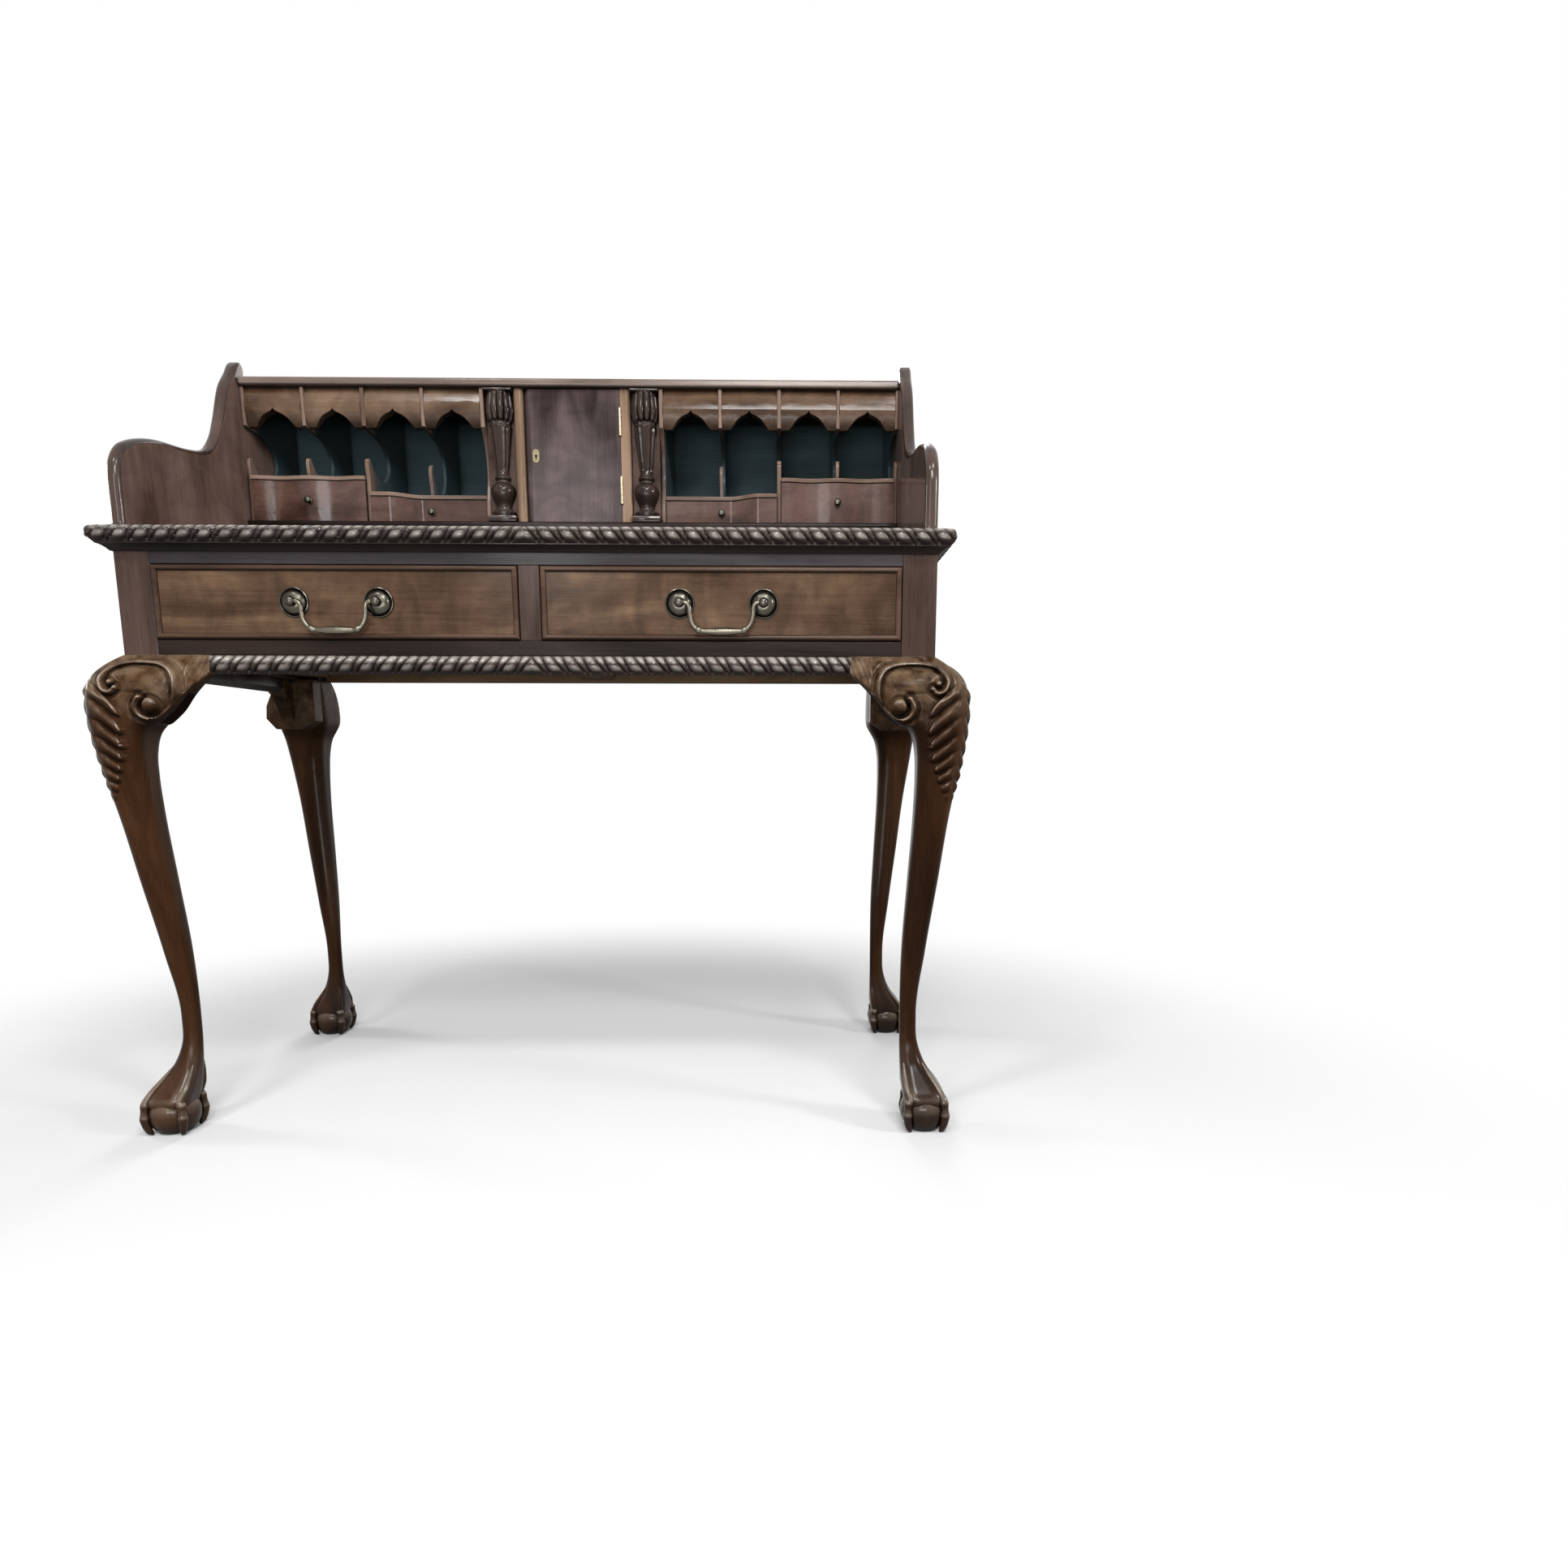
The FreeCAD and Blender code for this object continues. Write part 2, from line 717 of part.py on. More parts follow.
rosettes = [rosette(x) for x in handle_places]
posts = [handle_post(x) for x in handle_places] + [handle_nut(x) for x in handle_places]
bail = make_bail()
for side, turn in (("right", lambda shape: shape), ("left", mirrored)):
    save("drawer_%s_front" % side, turn(drawer_front))
    save("drawer_%s_bead" % side, *[turn(bead) for bead in beads])
    save("drawer_%s_box" % side, *[turn(board) for board in drawer_box])
    save("drawer_%s_rosettes" % side, *[turn(disc) for disc in rosettes])
    save("drawer_%s_posts" % side, *[turn(post) for post in posts])
    save("bail_%s" % side, turn(bail))


# Gallery carcase: ogee side panels that stand on the table, top and back boards, and a base on a plinth.
def panel_point(depth, height):
    return V(panel_inner_x, front + depth, table_height + height)


curve_points = [panel_point(0, panel_front_rise)]
curve_points += [panel_point(d * desk_depth, h * gallery_height) for d, h in panel_curve_shares]
ear_foot = V(curve_points[-1].x, curve_points[-1].y, gallery_top_z)
panel_back = panel_point(desk_depth, gallery_top_z - table_height)
side_panel = outline(
    [
        line(panel_point(desk_depth, 0), panel_point(0, 0)),
        line(panel_point(0, 0), curve_points[0]),
        *smooth(curve_points, V(0, 0, 1), V(0, 0, -1)),
        line(curve_points[-1], ear_foot),
        line(ear_foot, panel_back),
        line(panel_back, panel_point(desk_depth, 0)),
    ],
    V(panel_thickness, 0, 0),
)
save("gallery_side_right", side_panel)
save("gallery_side_left", mirrored(side_panel))


def nosed_board(front_y, low, high):
    # A board across the gallery with its two long front edges rounded.
    board = block(-panel_inner_x, panel_inner_x, front_y, back_board_front, low, high)
    front_edges = [edge for edge in board.Edges if edge.BoundBox.YMax < front_y + overrun]
    long_edges = [edge for edge in front_edges if edge.BoundBox.XLength > overrun]
    return board.makeFillet((high - low) / 3, long_edges)


save("gallery_top", nosed_board(bank_front - gallery_top_lip, gallery_ceiling, gallery_top_z))
back_board_back = back_board_front + gallery_back_thickness
save(
    "gallery_back",
    block(-panel_inner_x, panel_inner_x, back_board_front, back_board_back, table_height, gallery_top_z),
)
base_low = base_top - base_thickness
save("gallery_base", nosed_board(bank_front - base_lip, base_low, base_top))
plinth_front = bank_front + plinth_setback
plinth_back = plinth_front + plinth_thickness
save(
    "gallery_plinth",
    block(-panel_inner_x, panel_inner_x, plinth_front, plinth_back, table_height, base_low),
)


# Partitions: shaped boards between base and top, with a deep cut above a horned foot.
def cut_curve(x, shares, floor):
    rise = valance_foot_z - floor
    return curve([V(x, bank_front + d * partition_cut_depth, floor + h * rise) for d, h in shares])


def partition(x, thickness, floor, cut_floor, cut_shares, foot_shares):
    cut = cut_curve(x, cut_shares, cut_floor)
    foot = cut_curve(x, foot_shares, cut_floor) if foot_shares else None
    last = (foot or cut).Vertexes[-1].Point
    edges = [
        line(V(x, back_board_front, floor), V(x, back_board_front, gallery_ceiling)),
        line(V(x, back_board_front, gallery_ceiling), V(x, bank_front, gallery_ceiling)),
        line(V(x, bank_front, gallery_ceiling), cut.Vertexes[0].Point),
        cut,
    ]
    if foot:
        edges.append(foot)
    if last.z > floor:
        edges.append(line(last, V(x, last.y, floor)))
    edges.append(line(V(x, last.y, floor), V(x, back_board_front, floor)))
    return outline(edges, V(thickness, 0, 0))


mid_partition_place = tall_partition_place + 2 * bank_pitch
tall_partition = partition(
    tall_partition_place - half_partition, partition_thickness, base_top, base_top, tall_edge_shares, None
)
outer_floor = outer_shelf_z + shelf_thickness
inner_floor = inner_shelf_z + shelf_thickness
outer_shares = (outer_cut_shares, outer_horn_shares)
inner_shares = (inner_cut_shares, inner_horn_shares)
mid_partition = partition(
    mid_partition_place - half_partition, partition_thickness, base_top, outer_floor, *outer_shares
)
lining = partition(lining_x, lining_thickness, base_top, outer_floor, *outer_shares)
save("tall_partitions", *pair(tall_partition))
save("mid_partitions", *pair(mid_partition), *pair(lining))

inner_divider_place = tall_partition_place + bank_pitch
outer_divider_place = mid_partition_place + bank_pitch
half_board = divider_thickness / 2
inner_divider = partition(
    inner_divider_place - half_board, divider_thickness, inner_floor, inner_floor, *inner_shares
)
outer_divider = partition(
    outer_divider_place - half_board, divider_thickness, outer_floor, outer_floor, *outer_shares
)
save("low_dividers", *pair(inner_divider), *pair(outer_divider))

# Shelves and drawer fronts share one plan: serpentine at the outer drawers, stepped forward at the inner.
inner_low_x = tall_partition_place + half_partition
inner_high_x = mid_partition_place - half_partition
outer_low_x = mid_partition_place + half_partition
outer_high_x = lining_x


def serpentine_edge(x0, x1, y, z):
    middle = (x0 + x1) / 2
    return curve([V(middle + u * (x1 - x0), y + w * serpentine_depth, z) for u, w in serpentine_shares])


def blocked_edges(x0, x1, y, z):
    middle = (x0 + x1) / 2
    turn = middle + block_flat_share * (x1 - x0)
    end = middle + block_end_share * (x1 - x0)
    centre = (turn + end) / 2
    quarter = (end - turn) / 4
    recess = y + block_step
    sweep = curve(
        [
            V(turn, recess, z),
            V(centre - quarter, recess - block_step / 8, z),
            V(centre, recess - block_step / 2, z),
            V(centre + quarter, y + block_step / 8, z),
            V(end, y, z),
        ]
    )
    return [line(V(x0, recess, z), V(turn, recess, z)), sweep, line(V(end, y, z), V(x1, y, z))]


def board_behind(edges, back, height):
    start = edges[0].Vertexes[0].Point
    end = edges[-1].Vertexes[-1].Point
    far_end = V(end.x, back, end.z)
    far_start = V(start.x, back, start.z)
    closing = [line(end, far_end), line(far_end, far_start), line(far_start, start)]
    return outline(edges + closing, V(0, 0, height))


shelf_front = bank_front - shelf_lip
inner_shelf = board_behind(
    blocked_edges(inner_low_x, inner_high_x, shelf_front, inner_shelf_z), back_board_front, shelf_thickness
)
outer_shelf = board_behind(
    [serpentine_edge(outer_low_x, outer_high_x, shelf_front, outer_shelf_z)], back_board_front, shelf_thickness
)
save("shelves", *pair(inner_shelf), *pair(outer_shelf))


# Valances: arched boards with a swelling face, fitted between the partitions under the top board.
def valance(x0, x1):
    low_x, high_x = x0 + valance_clearance, x1 - valance_clearance
    middle = (low_x + high_x) / 2
    spring = low_x + valance_foot
    half_span = middle - spring
    left = []
    for u, w in valance_arch_shares:
        left.append(V(spring + u * half_span, bank_front, valance_foot_z + w * valance_arch_rise))
    right = [V(2 * middle - p.x, p.y, p.z) for p in reversed(left)]
    foot_left = V(low_x, bank_front, valance_foot_z)
    foot_right = V(high_x, bank_front, valance_foot_z)
    head_left = V(low_x, bank_front, gallery_ceiling)
    head_right = V(high_x, bank_front, gallery_ceiling)
    face = outline(
        [
            line(head_left, foot_left),
            line(foot_left, left[0]),
            curve(left),
            curve(right),
            line(right[-1], foot_right),
            line(foot_right, head_right),
            line(head_right, head_left),
        ],
        V(0, valance_thickness, 0),
    )
    back_y = bank_front + valance_thickness
    swell = []
    for d, h in valance_profile_shares:
        swell.append(V(low_x, bank_front + d * valance_bulge, valance_foot_z + h * valance_height))
    body = outline(
        [
            curve(swell),
            line(swell[-1], V(low_x, back_y, valance_foot_z)),
            line(V(low_x, back_y, valance_foot_z), V(low_x, back_y, gallery_ceiling)),
            line(V(low_x, back_y, gallery_ceiling), swell[0]),
        ],
        V(high_x - low_x, 0, 0),
    )
    return face.common(body)


valance_bays = (
    (inner_low_x, inner_divider_place - half_board),
    (inner_divider_place + half_board, inner_high_x),
    (outer_low_x, outer_divider_place - half_board),
    (outer_divider_place + half_board, outer_high_x),
)
valances = []
for bay in valance_bays:
    valances.extend(pair(valance(*bay)))
save("valances", *valances)


# Small drawers: a shaped front, a four-board box and a turned brass knob.
def knob(x, y, z):
    tail = -small_front_thickness
    middle = knob_length - knob_radius
    throat = middle - math.sqrt(knob_radius ** 2 - knob_neck_radius ** 2) / 2
    shoulder = math.sqrt(knob_radius ** 2 - (middle - throat) ** 2)
    profile = (
        ((tail, 0), (tail, knob_shank_radius)),
        ((tail, knob_shank_radius), (0, knob_shank_radius)),
        ((0, knob_shank_radius), (0, knob_neck_radius)),
        ((0, knob_neck_radius), (throat, knob_neck_radius)),
        ((throat, knob_neck_radius), (throat, shoulder)),
        ((throat, shoulder), (middle, knob_radius), (knob_length, 0)),
        ((knob_length, 0), (tail, 0)),
    )
    return turned(profile, V(x, y, z))


def small_drawer(side, place, turn, edges, face_y, back_y, x0, x1, space):
    low = base_top + running_gap
    high = base_top + space - small_clearance
    front_board = board_behind(edges, back_y, high - low)
    knob_x = (x0 + x1) / 2
    knob_z = (low + high) / 2
    bore_start = V(knob_x, face_y - overrun, knob_z)
    bore = Part.makeCylinder(
        knob_shank_radius + shank_clearance, 2 * small_front_thickness, bore_start, V(0, 1, 0)
    )
    far = back_board_front - small_back_gap
    wall_high = high - small_side_drop
    floor_high = low + small_wall
    boards = (
        block(x0, x0 + small_wall, back_y, far, low, wall_high),
        block(x1 - small_wall, x1, back_y, far, low, wall_high),
        block(x0 + small_wall, x1 - small_wall, far - small_wall, far, low, wall_high),
        block(x0 + small_wall, x1 - small_wall, back_y, far - small_wall, low, floor_high),
    )
    name = "small_drawer_%s_%s" % (place, side)
    save(name + "_front", turn(front_board.cut(bore)))
    save(name + "_box", *[turn(board) for board in boards])
    save(name + "_knob", turn(knob(knob_x, face_y, knob_z)))


small_low = base_top + running_gap
outer_drawer_x = (outer_low_x + small_clearance, outer_high_x - small_clearance)
inner_drawer_x = (inner_low_x + small_clearance, inner_high_x - small_clearance)
serpentine_centre = serpentine_shares[len(serpentine_shares) // 2][1] * serpentine_depth
for side, turn in (("right", lambda shape: shape), ("left", mirrored)):
    wavy = [serpentine_edge(*outer_drawer_x, bank_front, small_low)]
    face = bank_front + serpentine_centre
    small_drawer(
        side, "outer", turn, wavy, face, bank_front + small_front_thickness, *outer_drawer_x, outer_drawer_space
    )
    stepped = blocked_edges(*inner_drawer_x, bank_front, small_low)
    face = bank_front + block_step
    small_drawer(
        side, "inner", turn, stepped, face, face + small_front_thickness, *inner_drawer_x, inner_drawer_space
    )

# Cupboard: two walls, and a door on a pair of butt hinges let into the door and the right wall.
half_door = half_opening - door_gap
door_low = base_top + door_gap
door_high = gallery_ceiling - door_gap
hinge_axis_x = half_opening - door_gap / 2
hinge_axis_y = door_face - hinge_axis_proud
hinge_lows = (door_low + hinge_inset, door_high - hinge_inset - hinge_length)
third = hinge_length / 3


def hinge_slot(x0, x1, low):
    slot = block(
        x0, x1, hinge_axis_y, door_face + hinge_leaf_depth + hinge_slot_clearance, low - hinge_slot_clearance,
        low + hinge_length + hinge_slot_clearance,
    )
    room = Part.makeCylinder(
        hinge_knuckle_radius + knuckle_clearance, hinge_length + 2 * hinge_slot_clearance,
        V(hinge_axis_x, hinge_axis_y, low - hinge_slot_clearance), V(0, 0, 1),
    )
    return slot.fuse(room)


wall_outer = half_opening + cupboard_wall
wall = block(half_opening, wall_outer, door_face, back_board_front, base_top, gallery_ceiling)
right_wall = wall
door = block(-half_door, half_door, door_face, door_face + door_thickness, door_low, door_high)
for low in hinge_lows:
    right_wall = right_wall.cut(hinge_slot(half_opening, half_opening + hinge_leaf_thickness, low))
    door = door.cut(hinge_slot(half_door - hinge_leaf_thickness, half_door, low))
save("cupboard_walls", right_wall, mirrored(wall))

key_x = -half_door + escutcheon_inset
key_z = (door_low + door_high) / 2
key_way = Part.makeCylinder(
    keyhole_radius, door_thickness + 2 * overrun, V(key_x, door_face - overrun, key_z), V(0, 1, 0)
)
save("door", door.cut(key_way))


def knuckle(low, height, radius):
    return Part.makeCylinder(radius, height, V(hinge_axis_x, hinge_axis_y, low), V(0, 0, 1))


def hinge_leaf(x, low):
    high = low + hinge_length
    return block(x, x + hinge_leaf_thickness, hinge_axis_y, door_face + hinge_leaf_depth, low, high)


def fixed_leaf(low):
    leaf = hinge_leaf(half_opening, low)
    room = hinge_knuckle_radius + knuckle_clearance
    barrel = third - knuckle_clearance
    upper = low + 2 * third + knuckle_clearance
    middle = knuckle(low + barrel, hinge_length - 2 * barrel, room)
    barrels = [knuckle(low, barrel, hinge_knuckle_radius), knuckle(upper, barrel, hinge_knuckle_radius)]
    pin = knuckle(low, hinge_length, hinge_pin_radius)
    return leaf.cut(middle).fuse(barrels + [pin])


def moving_leaf(low):
    leaf = hinge_leaf(half_door - hinge_leaf_thickness, low)
    room = hinge_knuckle_radius + knuckle_clearance
    leaf = leaf.cut(knuckle(low, third, room)).cut(knuckle(low + 2 * third, third, room))
    barrel = knuckle(low + third, third, hinge_knuckle_radius)
    bore = knuckle(low, hinge_length, hinge_pin_radius + hinge_pin_clearance)
    return leaf.fuse(barrel).cut(bore)


save("hinge_fixed_leaves", *[fixed_leaf(low) for low in hinge_lows])
save("hinge_moving_leaves", *[moving_leaf(low) for low in hinge_lows])


# Keyhole escutcheon on the door's face and the lock on its inner face.
def make_escutcheon():
    half_w = escutcheon_width / 2
    half_straight = escutcheon_height / 2 - half_w
    plate = block(
        key_x - half_w, key_x + half_w, door_face - escutcheon_thickness, door_face, key_z - half_straight,
        key_z + half_straight,
    )
    for z in (key_z - half_straight, key_z + half_straight):
        end = Part.makeCylinder(half_w, escutcheon_thickness, V(key_x, door_face, z), V(0, -1, 0))
        plate = plate.fuse(end)
    start = door_face + overrun
    depth = escutcheon_thickness + 2 * overrun
    half_slot = keyhole_radius / 2
    slot = block(key_x - half_slot, key_x + half_slot, start - depth, start, key_z - keyhole_slot, key_z)
    keyhole = Part.makeCylinder(keyhole_radius, depth, V(key_x, start, key_z), V(0, -1, 0))
    return plate.cut(slot.fuse(keyhole))


save("escutcheon", make_escutcheon())
lock_face = door_face + door_thickness
lock_x = -half_door + door_gap
lock_low = key_z - lock_height / 2
save(
    "door_lock",
    block(lock_x, lock_x + lock_width, lock_face, lock_face + lock_depth, lock_low, lock_low + lock_height),
)

# Document slides: tall narrow boxes beside the cupboard, each with a half column on its front board.
slide_low_x = half_opening + cupboard_wall + slide_clearance
slide_high_x = tall_partition_place - half_partition - slide_clearance
slide_low = base_top + running_gap
slide_high = gallery_ceiling - slide_top_gap
slide_back = back_board_front - slide_back_gap
slide_front_back = slide_face + slide_front_thickness
slide_inner_x = (slide_low_x + slide_wall, slide_high_x - slide_wall)
slide_floor = slide_low + slide_wall
slide_box = (
    block(slide_low_x, slide_high_x, slide_face, slide_front_back, slide_low, slide_high),
    block(slide_low_x, slide_inner_x[0], slide_front_back, slide_back, slide_low, slide_high),
    block(slide_inner_x[1], slide_high_x, slide_front_back, slide_back, slide_low, slide_high),
    block(*slide_inner_x, slide_back - slide_wall, slide_back, slide_low, slide_high),
    block(*slide_inner_x, slide_front_back, slide_back - slide_wall, slide_low, slide_floor),
)


def half_column():
    x = (slide_low_x + slide_high_x) / 2
    slab_top = slide_low + column_slab_height
    abacus_low = slide_high - column_abacus_height
    rise = abacus_low - slab_top
    radius = column_width_share * (slide_high_x - slide_low_x) / 2
    points = [V(x, slide_face, slab_top)]
    points += [V(x + r * radius, slide_face, slab_top + h * rise) for h, r in column_shares]
    points.append(V(x, slide_face, abacus_low))
    shaft = Part.Face(Part.makePolygon(points + points[:1])).revolve(V(x, slide_face, 0), V(0, 0, 1), -180)
    slab_front = slide_face - column_slab_depth
    slab = block(slide_low_x, slide_high_x, slab_front, slide_face, slide_low, slab_top)
    abacus = block(slide_low_x, slide_high_x, slab_front, slide_face, abacus_low, slide_high)
    return shaft.fuse([slab, abacus])


column = half_column()
for side, turn in (("right", lambda shape: shape), ("left", mirrored)):
    save("document_%s_box" % side, *[turn(board) for board in slide_box])
    save("document_%s_column" % side, turn(column))
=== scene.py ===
import json
import math

import bmesh
import bpy
import numpy as np
from mathutils import Matrix, Vector

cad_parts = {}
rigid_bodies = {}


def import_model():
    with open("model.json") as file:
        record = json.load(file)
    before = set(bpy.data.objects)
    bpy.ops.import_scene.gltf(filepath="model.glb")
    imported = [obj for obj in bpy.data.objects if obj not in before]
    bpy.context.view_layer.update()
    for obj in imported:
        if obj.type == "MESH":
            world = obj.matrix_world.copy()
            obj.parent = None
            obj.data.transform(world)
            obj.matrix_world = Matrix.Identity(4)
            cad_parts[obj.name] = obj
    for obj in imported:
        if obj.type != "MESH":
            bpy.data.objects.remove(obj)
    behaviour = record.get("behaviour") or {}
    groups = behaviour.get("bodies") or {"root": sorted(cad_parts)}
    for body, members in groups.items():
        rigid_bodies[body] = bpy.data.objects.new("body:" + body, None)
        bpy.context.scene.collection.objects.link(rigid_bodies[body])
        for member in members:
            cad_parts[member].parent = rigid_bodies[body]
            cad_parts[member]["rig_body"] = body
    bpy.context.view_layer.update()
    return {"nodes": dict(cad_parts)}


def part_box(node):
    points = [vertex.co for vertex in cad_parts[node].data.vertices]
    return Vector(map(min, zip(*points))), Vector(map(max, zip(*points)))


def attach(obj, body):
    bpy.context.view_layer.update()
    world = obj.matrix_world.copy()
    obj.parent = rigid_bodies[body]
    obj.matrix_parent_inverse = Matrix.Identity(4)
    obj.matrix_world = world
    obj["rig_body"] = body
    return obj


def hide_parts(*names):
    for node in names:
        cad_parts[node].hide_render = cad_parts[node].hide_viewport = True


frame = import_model()


# Cabriole legs, each sawn and carved from one mahogany post whose square top is the stile of the
# frieze. The front knees are carved with scrolls and a leaf, and every foot is a claw that grips a
# ball.
corner_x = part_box("side_rails")[1].x
corner_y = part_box("back_rail")[1].y
knee_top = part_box("front_bottom_rail")[0].z
stile_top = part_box("front_top_rail")[1].z
stile = corner_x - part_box("front_top_rail")[1].x
leg_shares = (
    (1.000, -1.00, 0.00, 0.04), (0.987, -1.00, 0.26, 0.10), (0.964, -1.00, 0.60, 0.16),
    (0.928, -1.00, 0.84, 0.20), (0.890, -0.97, 0.89, 0.22), (0.845, -0.64, 0.86, 0.28),
    (0.805, -0.53, 0.79, 0.30), (0.761, -0.51, 0.69, 0.32), (0.693, -0.53, 0.53, 0.34),
    (0.540, -0.65, 0.25, 0.38), (0.392, -0.76, -0.03, 0.42), (0.245, -0.77, -0.25, 0.46),
    (0.180, -0.76, -0.18, 0.46), (0.140, -0.75, 0.04, 0.42), (0.110, -0.73, 0.33, 0.36),
    (0.088, -0.70, 0.55, 0.33), (0.072, -0.66, 0.65, 0.33), (0.056, -0.60, 0.62, 0.36),
)
carved_from, carved_to = 0.964, 0.69
scroll_path = (
    (-0.0350, 0.5585), (-0.0300, 0.5480), (-0.0330, 0.5385), (-0.0400, 0.5335), (-0.0490, 0.5318),
    (-0.0590, 0.5350), (-0.0675, 0.5435), (-0.0720, 0.5555), (-0.0735, 0.5690), (-0.0715, 0.5830),
    (-0.0650, 0.5940), (-0.0540, 0.6005), (-0.0400, 0.6030), (-0.0200, 0.6035), (-0.0030, 0.5995),
    (0.0075, 0.5905), (0.0110, 0.5790), (0.0070, 0.5690), (-0.0010, 0.5655), (-0.0070, 0.5700),
)
scroll_band, scroll_rise = 0.0044, 0.0050
scroll_groove, scroll_groove_depth = 0.0026, 0.0026
scroll_eyes = ((-0.0470, 0.5500, 0.0100), (0.0010, 0.5765, 0.0050))
eye_rise, eye_groove_depth = 0.60, 0.0024
swell_middle, swell_half, swell_rise = (-0.026, 0.581), (0.031, 0.016), 0.0045
leaf_widths = (
    (0.425, 0.0), (0.445, 0.014), (0.468, 0.028), (0.495, 0.040), (0.515, 0.045), (0.540, 0.046),
    (0.552, 0.040), (0.564, 0.027), (0.574, 0.013), (0.582, 0.0),
)
leaf_pitches = (0.0130, 0.078)
leaf_slopes = (0.32, 9.0)
leaf_rise, leaf_ground, leaf_reach = 0.30, 0.0010, 0.06
sharp_turn = math.radians(42)
ball_radius = 0.0315
ball_height = 0.0255
tendon_path = ((0.088, 0.0008), (0.078, 0.0026), (0.068, 0.0036), (0.058, 0.0042))
talon_path = (
    (0.98, 1.48, 0.16), (1.04, 1.30, 0.19), (1.07, 1.12, 0.165), (1.09, 0.94, 0.17), (1.10, 0.76, 0.20),
    (1.09, 0.58, 0.175), (1.05, 0.40, 0.16), (0.98, 0.20, 0.13), (0.87, 0.03, 0.06),
)


def through(rows, places):
    """A smooth line through rows of numbers, read at places along their first column."""
    rows = np.array(sorted(rows))
    at = rows[:, 0]
    slopes = np.gradient(rows, at, axis=0)
    step = np.clip(np.searchsorted(at, places) - 1, 0, len(at) - 2)
    span = (at[step + 1] - at[step])[:, None]
    part = (np.asarray(places) - at[step])[:, None] / span
    return (rows[step] * (1 + 2 * part) * (1 - part) ** 2 + slopes[step] * span * part * (1 - part) ** 2
            + rows[step + 1] * part ** 2 * (3 - 2 * part) + slopes[step + 1] * span * part ** 2 * (part - 1))


def traced(points, count):
    """The same smooth line through points of a path, read at even steps from its first to its last."""
    numbered = [(i, *point) for i, point in enumerate(points)]
    return through(numbered, np.linspace(0, len(points) - 1, count))[:, 1:]


def ramp(values, start, stop):
    """Rises smoothly from 0 at start to 1 at stop."""
    part = np.clip((values - start) / (stop - start), 0, 1)
    return part * part * (3 - 2 * part)


def skin(bm, rings, highlight_shares=None):
    """Lays a grid through closed rings of points, closes it, and keeps how much painted highlight each point
    carries.
    """
    columns = len(rings[0])
    layer = None if highlight_shares is None else bm.verts.layers.float.new("crown")
    grid = bmesh.ops.create_grid(bm, x_segments=columns, y_segments=len(rings) - 1, size=1)["verts"]
    for row, points in enumerate(rings):
        for column in range(columns + 1):
            vert = grid[row * (columns + 1) + column]
            vert.co = points[column % columns]
            if layer:
                vert[layer] = highlight_shares[row][column % columns]
    bmesh.ops.remove_doubles(bm, verts=grid, dist=1e-7)
    bmesh.ops.holes_fill(bm, edges=[edge for edge in bm.edges if edge.is_boundary], sides=0)


def ring(centre, across, upward, radius, count):
    """Points round a centre, in the plane of two directions."""
    turns = np.linspace(0, 2 * math.pi, count, endpoint=False)
    return [Vector(centre) + (across * math.cos(turn) + upward * math.sin(turn)) * radius for turn in turns]


def outward(points):
    """The level direction out of each point of a skin's rings, found from its neighbours round the ring."""
    round_ring = np.roll(points, -1, axis=1) - np.roll(points, 1, axis=1)
    normal = np.stack((round_ring[:, :, 1], -round_ring[:, :, 0], np.zeros(round_ring.shape[:2])), axis=2)
    return normal / np.maximum(np.linalg.norm(normal, axis=2, keepdims=True), 1e-12)


def shader_node(tree, kind, inputs, **settings):
    """Adds a node, sets its properties, and sets or links its inputs."""
    made = tree.nodes.new("ShaderNode" + kind)
    for key, value in settings.items():
        setattr(made, key, value)
    for key, value in inputs.items():
        if isinstance(value, bpy.types.NodeSocket):
            tree.links.new(value, made.inputs[key])
        else:
            made.inputs[key].default_value = value
    return made


def noise(tree, vector, scale, detail=3.0, distortion=0.0):
    """The value of a noise texture."""
    settings = {"Vector": vector, "Scale": scale, "Detail": detail, "Distortion": distortion}
    return shader_node(tree, "TexNoise", settings).outputs[0]


def ranged(tree, value, low=0.0, high=1.0, start=0.0, stop=1.0):
    """A value carried from the range low to high on to the range start to stop, and held there."""
    return shader_node(tree, "MapRange", {0: value, 1: low, 2: high, 3: start, 4: stop}).outputs[0]


def reckoned(tree, operation, *values):
    """One step of arithmetic on values."""
    return shader_node(tree, "Math", dict(enumerate(values)), operation=operation).outputs[0]


def colours(tree, factor, stops):
    """A colour ramp from rows of place, red, green and blue, with the colours linear."""
    made = shader_node(tree, "ValToRGB", {0: factor})
    stripes = made.color_ramp.elements
    while len(stripes) < len(stops):
        stripes.new(0.5)
    for stripe, (place, *colour) in zip(stripes, stops):
        stripe.position = place
        stripe.color = (*colour, 1)
    return made.outputs[0]


def blended(tree, first, second, factor, kind="MIX"):
    """Two colours mixed or multiplied by a factor."""
    return shader_node(tree, "MixRGB", {0: factor, 1: first, 2: second}, blend_type=kind).outputs[0]


